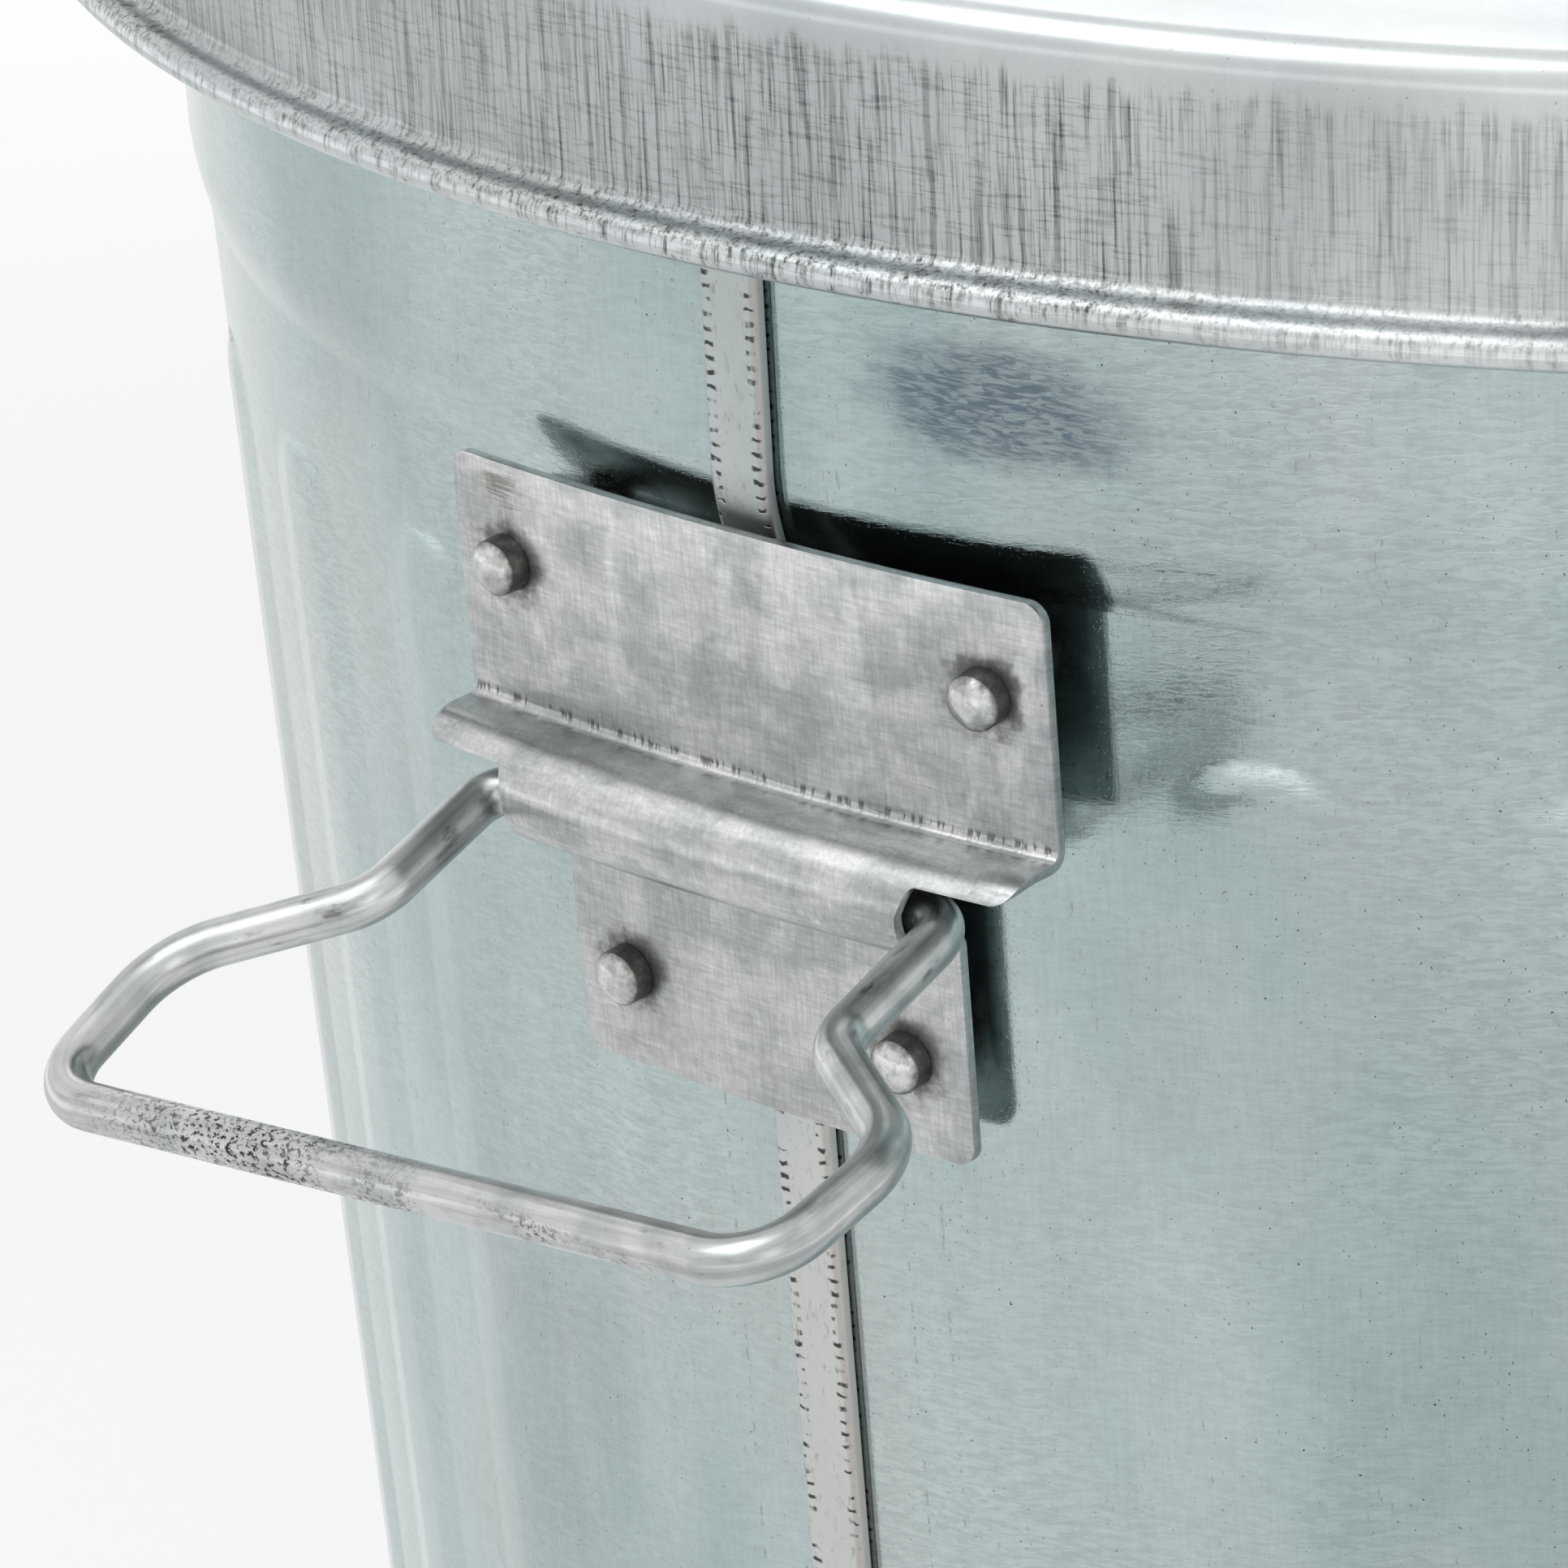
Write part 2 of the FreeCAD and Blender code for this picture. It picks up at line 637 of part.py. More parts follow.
def lid_rise():
    """Height of the lid's flat middle above its flat ring."""
    return LID_STEP + LID_CROWN


def lid_shell():
    """Crown, step, flat ring, shoulder, skirt and rolled edge, turned in one sheet."""
    half = LID_T / 2
    top = lid_top() - half
    skirt = skirt_radius() - half
    low_skirt = skirt - SKIRT_IN
    roll = LID_ROLL - half
    roll_x = low_skirt + LID_ROLL_OUT
    roll_z = lid_top() - SKIRT_DEPTH
    step_x = skirt_radius() - LID_LAND
    path = [
        (0, top + lid_rise()),
        (LID_CROWN_FLAT, top + lid_rise()),
        (step_x - LID_STEP_RUN, top + LID_STEP),
        (step_x, top),
        (skirt, top),
        (low_skirt, roll_z + roll),
        (roll_x + roll, roll_z + roll),
        (roll_x + roll, roll_z - roll),
        (roll_x - roll, roll_z - roll),
        (roll_x - roll, roll_z + WALL_T),
    ]
    bends = [0, LID_BEND, LID_BEND, LID_BEND, SHOULDER_BEND, LID_ROLL_FILLET, roll, roll, roll, 0]
    shell = turned_sheet(path, bends, LID_T)
    drills = [
        Part.makeCylinder(RIVET_HOLE, 4 * LID_BEND, Vector(x, 0, top + lid_rise() - 2 * LID_BEND))
        for x in lid_rivet_places()
    ]
    return shell.cut(drills)


def lid_rivet_places():
    reach = STRAP_HALF + LID_RIVET_IN
    return (-reach, reach)


def lid_handle():
    """Bent strap with two feet and a pressed rib along its top."""
    base = lid_top() + lid_rise() + STRAP_T / 2
    high = base + STRAP_RISE
    foot = STRAP_HALF + STRAP_FOOT
    inner = STRAP_HALF - STRAP_LEAN
    path = [(-foot, base), (-STRAP_HALF, base), (-inner, high), (inner, high), (STRAP_HALF, base)]
    path.append((foot, base))
    bends = [0, STRAP_FOOT_BEND, STRAP_TOP_BEND, STRAP_TOP_BEND, STRAP_FOOT_BEND, 0]
    points, radii = sheet_outline(path, bends, STRAP_T)
    strap = flat_face(points, radii, lambda a, b: Vector(a, -STRAP_WIDTH / 2, b))
    strap = strap.extrude(Vector(0, STRAP_WIDTH, 0))
    half = STRAP_WIDTH / 2
    corners = [(foot, half), (-foot, half), (-foot, -half), (foot, -half)]
    outline = flat_face(corners, [half * 0.8] * 4, lambda a, b: Vector(a, b, base - STRAP_T))
    strap = strap.common(outline.extrude(Vector(0, 0, STRAP_RISE + 4 * STRAP_T)))
    strap = strap.fuse(strap_rib(high + STRAP_T / 2)).removeSplitter()
    drills = [
        Part.makeCylinder(RIVET_HOLE, 4 * STRAP_T, Vector(x, 0, base - 2 * STRAP_T))
        for x in lid_rivet_places()
    ]
    return strap.cut(drills)


def strap_rib(top):
    """Raised rib on the strap, a low ridge that runs out at both ends."""
    ridge = [
        Vector(0, -STRAP_RIB_HALF, 0),
        Vector(0, STRAP_RIB_HALF, 0),
        Vector(0, STRAP_RIB_HALF * 0.4, STRAP_RIB_RISE),
        Vector(0, -STRAP_RIB_HALF * 0.4, STRAP_RIB_RISE),
    ]
    ends = ((-1.0, 0.15), (-0.85, 1.0), (0.85, 1.0), (1.0, 0.15))
    wires = []
    for along, size in ends:
        place = Vector(along * STRAP_RIB_END, 0, top)
        ring = [place + Vector(0, p.y * size, p.z * size) for p in ridge]
        wires.append(Part.makePolygon(ring + [ring[0]]))
    return Part.makeLoft(wires, True, True)


def lid_handle_rivets():
    """Two domed rivets through the strap's feet and the lid."""
    seat = lid_top() + lid_rise() + STRAP_T
    tail = -STRAP_T - LID_T - RIVET_SEAT
    outline = [
        (0, tail - RIVET_TAIL_H),
        (RIVET_TAIL * 0.7, tail - RIVET_TAIL_H),
        (RIVET_TAIL, tail),
        (RIVET_SHANK, tail),
        (RIVET_SHANK, 0),
        (LID_RIVET_HEAD, 0),
        (LID_RIVET_HEAD, RIVET_SEAT * 4),
    ]
    pin = headed_pin(outline, LID_RIVET_HEAD, LID_RIVET_DOME)
    return Part.makeCompound([aim(pin, Vector(x, 0, seat), Vector(0, 0, 1)) for x in lid_rivet_places()])


def build():
    rear = body_sheet()
    plate = ear_plate()
    rivets = ear_rivets()
    return {
        "body_sheet_rear": rear,
        "body_sheet_front": half_turn(rear),
        "bottom_pan": bottom_pan(),
        "ear_plate_left": plate,
        "ear_plate_right": half_turn(plate),
        "ear_rivets_left": rivets,
        "ear_rivets_right": half_turn(rivets),
        "bail_left": bail(LEFT_BAIL_ANGLE),
        "bail_right": half_turn(bail(RIGHT_BAIL_ANGLE)),
        "lid_shell": lid_shell(),
        "lid_handle": lid_handle(),
        "lid_handle_rivets": lid_handle_rivets(),
    }


os.makedirs("parts", exist_ok=True)
for node, shape in build().items():
    solids = shape.Solids
    volume = sum(solid.Volume for solid in solids)
    print(f"{node}: {len(solids)} solid(s), {volume / 1000:.2f} cm3, valid {shape.isValid()}")
    shape.exportStep(f"parts/{node}.step")
print(f"bail pivots: x -/+{pivot_radius():.3f}, z {pivot_height():.3f}")
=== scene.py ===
"""Looks of a galvanized steel trash can with a loose lid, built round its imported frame.

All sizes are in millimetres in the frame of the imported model: +Z up, the can's axis on Z, one
lock seam and one ear plate on -X and one of each on +X. Meshes are written in metres.
"""
from __future__ import annotations

import logging
import math
import random
from dataclasses import dataclass, field
from enum import Enum
from typing import Callable, Sequence

import bpy
from mathutils import Matrix, Vector, noise


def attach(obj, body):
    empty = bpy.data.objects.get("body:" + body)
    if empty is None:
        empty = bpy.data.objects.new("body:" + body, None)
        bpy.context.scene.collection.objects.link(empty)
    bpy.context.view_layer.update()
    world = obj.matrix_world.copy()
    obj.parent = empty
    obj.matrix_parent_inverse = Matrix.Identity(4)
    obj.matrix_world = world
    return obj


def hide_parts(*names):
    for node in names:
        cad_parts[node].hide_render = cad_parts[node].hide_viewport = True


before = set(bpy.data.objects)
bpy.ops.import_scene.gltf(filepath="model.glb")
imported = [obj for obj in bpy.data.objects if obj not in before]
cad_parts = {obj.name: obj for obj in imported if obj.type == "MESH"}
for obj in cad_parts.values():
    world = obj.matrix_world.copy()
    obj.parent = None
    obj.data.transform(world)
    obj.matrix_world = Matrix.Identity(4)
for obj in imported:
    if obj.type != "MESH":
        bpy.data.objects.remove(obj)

LOG = logging.getLogger("trash_can")
MM = 0.001
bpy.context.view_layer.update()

Point = tuple[float, float]
Colour = tuple[float, float, float]


class Side(Enum):
    """The two sides of the can that carry a seam and an ear plate."""

    LEFT = "left"
    RIGHT = "right"


class Grain(Enum):
    """Which way the fine marks of a finish run."""

    WAVY = "wavy"
    DRAWN = "drawn"
    CROSSED = "crossed"
    WIRE = "wire"


# ---------------------------------------------------------------- outlines and meshes


def rounded(points: Sequence[Point], bends: Sequence[float], step: float = 9.0) -> list[Point]:
    """Round the corners of a run of straight lines.

    Args:
        points: Corners of the line, in millimetres.
        bends: Radius at each corner, 0 for a sharp one.
        step: Largest turn, in degrees, between two points of an arc.

    Returns:
        The points of the rounded line.
    """
    line = [points[0]]
    for before, here, after, radius in zip(points, points[1:], points[2:], bends[1:]):
        first = Vector(before) - Vector(here)
        second = Vector(after) - Vector(here)
        turn = math.pi - first.angle(second)
        if radius <= 0 or turn < 1e-4:
            line.append(here)
            continue
        run = radius * math.tan(turn / 2)
        start = Vector(here) + first.normalized() * run
        middle = (first.normalized() + second.normalized()).normalized()
        centre = Vector(here) + middle * (radius / math.cos(turn / 2))
        spoke = start - centre
        side = 1.0 if first.x * second.y - first.y * second.x < 0 else -1.0
        count = max(2, math.ceil(math.degrees(turn) / step))
        for k in range(count + 1):
            angle = side * turn * k / count
            cos, sin = math.cos(angle), math.sin(angle)
            line.append((centre.x + spoke.x * cos - spoke.y * sin, centre.y + spoke.x * sin + spoke.y * cos))
    line.append(points[-1])
    return line


def divided(line: Sequence[Point], longest: float) -> list[Point]:
    """Divide the long runs of a line, so that no run is longer than the given length."""
    out = [line[0]]
    for (a0, b0), (a1, b1) in zip(line, line[1:]):
        count = max(1, math.ceil(math.hypot(a1 - a0, b1 - b0) / longest))
        out += [(a0 + (a1 - a0) * k / count, b0 + (b1 - b0) * k / count) for k in range(1, count + 1)]
    return out


def thickened(line: Sequence[Point], thickness: float) -> list[Point]:
    """Carry a line half a thickness to each side.

    Args:
        line: Middle line of a sheet.
        thickness: The sheet's thickness.

    Returns:
        The closed outline of the sheet, first one side and then the other.
    """
    sides: list[list[Point]] = [[], []]
    normals = []
    for (a0, b0), (a1, b1) in zip(line, line[1:]):
        length = math.hypot(a1 - a0, b1 - b0)
        normals.append((-(b1 - b0) / length, (a1 - a0) / length))
    for i, (a, b) in enumerate(line):
        first = normals[max(i - 1, 0)]
        second = normals[min(i, len(normals) - 1)]
        scale = thickness / 2 / (1 + first[0] * second[0] + first[1] * second[1])
        across = ((first[0] + second[0]) * scale, (first[1] + second[1]) * scale)
        sides[0].append((a + across[0], b + across[1]))
        sides[1].append((a - across[0], b - across[1]))
    return sides[0] + sides[1][::-1]


def new_piece(name: str, points: Sequence[Sequence[float]], faces: Sequence[Sequence[int]]) -> bpy.types.Object:
    """Make an object from points in millimetres.

    Args:
        name: Name of the piece.
        points: Corners in millimetres.
        faces: Corner numbers of each face.

    Returns:
        The new object, linked to the scene.
    """
    mesh = bpy.data.meshes.new(name)
    mesh.from_pydata([(p[0] * MM, p[1] * MM, p[2] * MM) for p in points], [], [list(f) for f in faces])
    mesh.validate()
    piece = bpy.data.objects.new(name, mesh)
    bpy.context.scene.collection.objects.link(piece)
    return piece


def soften(piece: bpy.types.Object, crease: float = 38.0) -> None:
    """Shade a piece smooth, except across edges that turn by more than the given degrees."""
    piece.data.shade_smooth()
    piece.data.set_sharp_from_angle(angle=math.radians(crease))


def dress(piece: bpy.types.Object, finish: bpy.types.Material, slot: str, body: str, *nodes: str) -> None:
    """Give a finished piece its material and its place in the frame.

    Args:
        piece: The finished piece.
        finish: Its material.
        slot: Name of a material slot; not used.
        body: The body that it rides on.
        *nodes: CAD nodes that it stands for.
    """
    piece.data.materials.clear()
    piece.data.materials.append(finish)
    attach(piece, body)
    if nodes:
        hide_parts(*nodes)
    LOG.info("%s: %d faces, rides on %s", piece.name, len(piece.data.polygons), body)


def grid_faces(rows: int, columns: int, close_rows: bool, close_columns: bool) -> list[tuple[int, ...]]:
    """Faces of a grid of points that is stored row by row."""
    faces = []
    for i in range(rows if close_rows else rows - 1):
        for j in range(columns if close_columns else columns - 1):
            low, high = i * columns, ((i + 1) % rows) * columns
            right = (j + 1) % columns
            faces.append((low + j, low + right, high + right, high + j))
    return faces


def turned(name: str, outline: Sequence[Point], segments: int) -> bpy.types.Object:
    """Turn a closed outline of (radius, height) points about Z.

    Args:
        name: Name of the piece.
        outline: Closed outline in millimetres. Points on the axis may only be its two ends.
        segments: Number of steps round the axis.

    Returns:
        The turned piece, closed at its pole.
    """
    poles = [i for i, (radius, _) in enumerate(outline) if abs(radius) < 1e-6]
    if poles:
        start = poles[0] if len(poles) == 1 else poles[-1]
        outline = list(outline[start:]) + list(outline[:start])
        count = len(outline)
        points: list[tuple[float, float, float]] = [(0.0, 0.0, outline[0][1]), (0.0, 0.0, outline[-1][1])]
        middle = outline[1:-1]
        points += ring_points(middle, segments)
        faces = [tuple(c + 2 for c in face) for face in grid_faces(len(middle), segments, False, True)]
        last = 2 + (len(middle) - 1) * segments
        for j in range(segments):
            right = (j + 1) % segments
            faces.append((0, 2 + right, 2 + j))
            faces.append((1, last + j, last + right))
        assert count == len(middle) + 2
    else:
        points = ring_points(outline, segments)
        faces = grid_faces(len(outline), segments, True, True)
    return outwards(new_piece(name, points, faces))


def ring_points(outline: Sequence[Point], segments: int) -> list[tuple[float, float, float]]:
    """Points of an outline at every step round the axis, ring by ring."""
    steps = [(math.cos(math.tau * j / segments), math.sin(math.tau * j / segments)) for j in range(segments)]
    return [(radius * cos, radius * sin, height) for radius, height in outline for cos, sin in steps]


def outwards(piece: bpy.types.Object) -> bpy.types.Object:
    """Turn the faces of a closed piece outwards."""
    volume = 0.0
    vertices = piece.data.vertices
    for polygon in piece.data.polygons:
        corners = [vertices[i].co for i in polygon.vertices]
        for b, c in zip(corners[1:], corners[2:]):
            volume += corners[0].dot(b.cross(c))
    if volume < 0:
        piece.data.flip_normals()
    return piece


def joined(name: str, parts: Sequence[bpy.types.Object]) -> bpy.types.Object:
    """Join several meshes into one piece of the given name."""
    points: list[Vector] = []
    faces: list[list[int]] = []
    for part in parts:
        base = len(points)
        points += [v.co / MM for v in part.data.vertices]
        faces += [[i + base for i in polygon.vertices] for polygon in part.data.polygons]
        bpy.data.objects.remove(part)
    return new_piece(name, points, faces)


def half_turned(piece: bpy.types.Object, name: str) -> bpy.types.Object:
    """A copy of a piece on the other side of the can's axis."""
    mesh = piece.data.copy()
    mesh.name = name
    mesh.transform(Matrix.Rotation(math.pi, 4, "Z"))
    turned_copy = bpy.data.objects.new(name, mesh)
    bpy.context.scene.collection.objects.link(turned_copy)
    return turned_copy


# ---------------------------------------------------------------- node trees


class NodeSheet:
    """A node tree that is written as plain sums, for materials and for geometry alike."""

    def __init__(self, tree: bpy.types.NodeTree) -> None:
        """Start on an empty tree."""
        self.tree = tree
        self.tree.nodes.clear()

    def add(self, kind: str, **settings: object) -> bpy.types.Node:
        """Add a node of a kind and set its properties."""
        node = self.tree.nodes.new(kind)
        for name, value in settings.items():
            setattr(node, name, value)
        return node

    def feed(self, socket: bpy.types.NodeSocket, value: object) -> None:
        """Put a value or another node's output into a socket."""
        if isinstance(value, bpy.types.NodeSocket):
            self.tree.links.new(value, socket)
        else:
            socket.default_value = value

    def sum(self, operation: str, *values: object, clamp: bool = False) -> bpy.types.NodeSocket:
        """One step of arithmetic on numbers."""
        node = self.add("ShaderNodeMath", operation=operation, use_clamp=clamp)
        for socket, value in zip(node.inputs, values):
            self.feed(socket, value)
        return node.outputs[0]

    def vector(self, operation: str, *values: object) -> bpy.types.NodeSocket:
        """One step of arithmetic on vectors."""
        node = self.add("ShaderNodeVectorMath", operation=operation)
        for socket, value in zip(node.inputs, values):
            self.feed(socket, value)
        return node.outputs["Value"] if operation in ("LENGTH", "DISTANCE", "DOT_PRODUCT") else node.outputs[0]

    def step(self, value: object, low: object, high: object) -> bpy.types.NodeSocket:
        """Rise smoothly from 0 at low to 1 at high."""
        node = self.add("ShaderNodeMapRange", interpolation_type="SMOOTHSTEP")
        for name, setting in (("Value", value), ("From Min", low), ("From Max", high)):
            self.feed(node.inputs[name], setting)
        return node.outputs[0]

    def band(self, value: object, low: float, high: float, soft: float) -> bpy.types.NodeSocket:
        """1 between low and high, falling to 0 over a soft edge on both sides."""
        rise = self.step(value, low - soft, low + soft)
        fall = self.step(value, high + soft, high - soft)
        return self.sum("MULTIPLY", rise, fall)

    def split(self, vector: bpy.types.NodeSocket) -> tuple[bpy.types.NodeSocket, ...]:
        """The three parts of a vector."""
        node = self.add("ShaderNodeSeparateXYZ")
        self.feed(node.inputs[0], vector)
        return tuple(node.outputs)

    def compose(self, x: object, y: object, z: object) -> bpy.types.NodeSocket:
        """A vector from three parts."""
        node = self.add("ShaderNodeCombineXYZ")
        for socket, value in zip(node.inputs, (x, y, z)):
            self.feed(socket, value)
        return node.outputs[0]

    def noise(
        self, place: object, size: Sequence[float], detail: float = 2.0, rough: float = 0.5, warp: float = 0.0
    ) -> bpy.types.NodeSocket:
        """Soft noise whose cells have the given size in millimetres along X, Y and Z."""
        scaled = self.vector("MULTIPLY", place, tuple(1.0 / s for s in size))
        node = self.add("ShaderNodeTexNoise")
        self.feed(node.inputs["Vector"], scaled)
        node.inputs["Scale"].default_value = 1.0
        node.inputs["Detail"].default_value = detail
        node.inputs["Roughness"].default_value = rough
        node.inputs["Distortion"].default_value = warp
        return node.outputs[0]

    def cells(self, place: object, size: float) -> tuple[bpy.types.NodeSocket, bpy.types.NodeSocket]:
        """Distance to the next cell's middle and a random colour for each cell."""
        node = self.add("ShaderNodeTexVoronoi")
        self.feed(node.inputs["Vector"], self.vector("SCALE", place))
        node.inputs["Vector"].links[0].from_node.inputs["Scale"].default_value = 1.0 / size
        node.inputs["Scale"].default_value = 1.0
        return node.outputs["Distance"], node.outputs["Color"]

    def blend(self, amount: object, first: object, second: object) -> bpy.types.NodeSocket:
        """Mix two colours."""
        node = self.add("ShaderNodeMix", data_type="RGBA")
        self.feed(node.inputs[0], amount)
        for socket, value in ((node.inputs[6], first), (node.inputs[7], second)):
            self.feed(socket, (*value, 1.0) if isinstance(value, tuple) else value)
        return node.outputs[2]

    def shade(self, colour: object, amount: object) -> bpy.types.NodeSocket:
        """Multiply a colour by a number."""
        return self.vector("MULTIPLY", colour, self.compose(amount, amount, amount))

    def bump(self, height: object, depth: float, under: object = None) -> bpy.types.NodeSocket:
        """Surface relief from a height of 0 to 1, with its depth in millimetres."""
        node = self.add("ShaderNodeBump")
        node.inputs["Strength"].default_value = 1.0
        node.inputs["Distance"].default_value = depth * MM
        self.feed(node.inputs["Height"], height)
        if under is not None:
            self.feed(node.inputs["Normal"], under)
        return node.outputs[0]


# ---------------------------------------------------------------- finishes


@dataclass(frozen=True)
class Zinc:
    """A zinc coated surface: soft patches, spangle, grain, specks and uneven gloss."""

    name: str
    light: Colour
    dark: Colour
    warm: Colour
    gloss: tuple[float, float]
    grain: Grain
    patch: tuple[float, float, float] = (70.0, 70.0, 150.0)
    spangle: float = 2.4
    spangle_depth: float = 0.10
    warm_share: float = 0.35
    grain_depth: float = 0.08
    relief: float = 0.010
    specks: float = 0.35

    def build(self) -> bpy.types.Material:
        """Make the material."""
        material = bpy.data.materials.new(self.name)
        material.use_nodes = True
        sheet = NodeSheet(material.node_tree)
        place = sheet.vector("SCALE", sheet.add("ShaderNodeTexCoord").outputs["Object"])
        place.node.inputs["Scale"].default_value = 1.0 / MM
        colour = self.ground(sheet, place)
        grain = self.run(sheet, place)
        spangle = sheet.noise(place, (self.spangle,) * 3, 4.0, 0.62)
        tone = sheet.sum("ADD", 1.0 - self.spangle_depth / 2 - self.grain_depth / 2,
                         sheet.sum("MULTIPLY", spangle, self.spangle_depth))
        tone = sheet.sum("ADD", tone, sheet.sum("MULTIPLY", grain, self.grain_depth))
        colour = sheet.shade(colour, tone)
        speck = sheet.noise(place, (0.55,) * 3, 1.0)
        cover = sheet.noise(place, (40.0,) * 3, 2.0)
        speck = sheet.step(speck, 0.72, 0.80)
        speck = sheet.sum("MULTIPLY", speck, sheet.sum("MULTIPLY", cover, self.specks * 2))
        colour = sheet.blend(sheet.sum("MULTIPLY", speck, 1.0, clamp=True), colour, (0.05, 0.06, 0.06))
        patches = sheet.noise(place, (28.0,) * 3, 3.0)
        rough = sheet.sum("MULTIPLY_ADD", patches, (self.gloss[1] - self.gloss[0]), self.gloss[0])
        normal = sheet.bump(grain, self.relief)
        colour, rough, normal = self.marks(sheet, place, colour, rough, normal)
        shader = sheet.add("ShaderNodeBsdfPrincipled")
        shader.inputs["Metallic"].default_value = 1.0
        sheet.feed(shader.inputs["Base Color"], colour)
        sheet.feed(shader.inputs["Roughness"], rough)
        sheet.feed(shader.inputs["Normal"], normal)
        out = sheet.add("ShaderNodeOutputMaterial")
        sheet.feed(out.inputs["Surface"], shader.outputs[0])
        return material

    def ground(self, sheet: NodeSheet, place: bpy.types.NodeSocket) -> bpy.types.NodeSocket:
        """Soft patches of light, dark and warm zinc."""
        cloud = sheet.step(sheet.noise(place, self.patch, 3.0, 0.55, 0.4), 0.36, 0.64)
        colour = sheet.blend(cloud, self.dark, self.light)
        warmth = sheet.step(sheet.noise(place, (55.0, 55.0, 90.0), 2.0), 0.45, 0.68)
        return sheet.blend(sheet.sum("MULTIPLY", warmth, self.warm_share), colour, self.warm)

    def run(self, sheet: NodeSheet, place: bpy.types.NodeSocket) -> bpy.types.NodeSocket:
        """Fine marks of the sheet, 0 to 1."""
        if self.grain is Grain.WAVY:
            return sheet.noise(place, (5.5, 5.5, 0.75), 3.0, 0.6, 1.3)
        if self.grain is Grain.DRAWN:
            return sheet.noise(place, (0.8, 0.8, 60.0), 3.0, 0.6)
        fine = sheet.noise(place, (0.5, 0.5, 9.0), 2.0, 0.6)
        cross = sheet.noise(place, (9.0, 9.0, 0.5), 2.0, 0.6)
        return sheet.sum("MAXIMUM", fine, cross)

    def marks(
        self,
        sheet: NodeSheet,
        place: bpy.types.NodeSocket,
        colour: bpy.types.NodeSocket,
        rough: bpy.types.NodeSocket,
        normal: bpy.types.NodeSocket,
    ) -> tuple[bpy.types.NodeSocket, bpy.types.NodeSocket, bpy.types.NodeSocket]:
        """Marks that only this finish has; none on plain sheet."""
        return colour, rough, normal


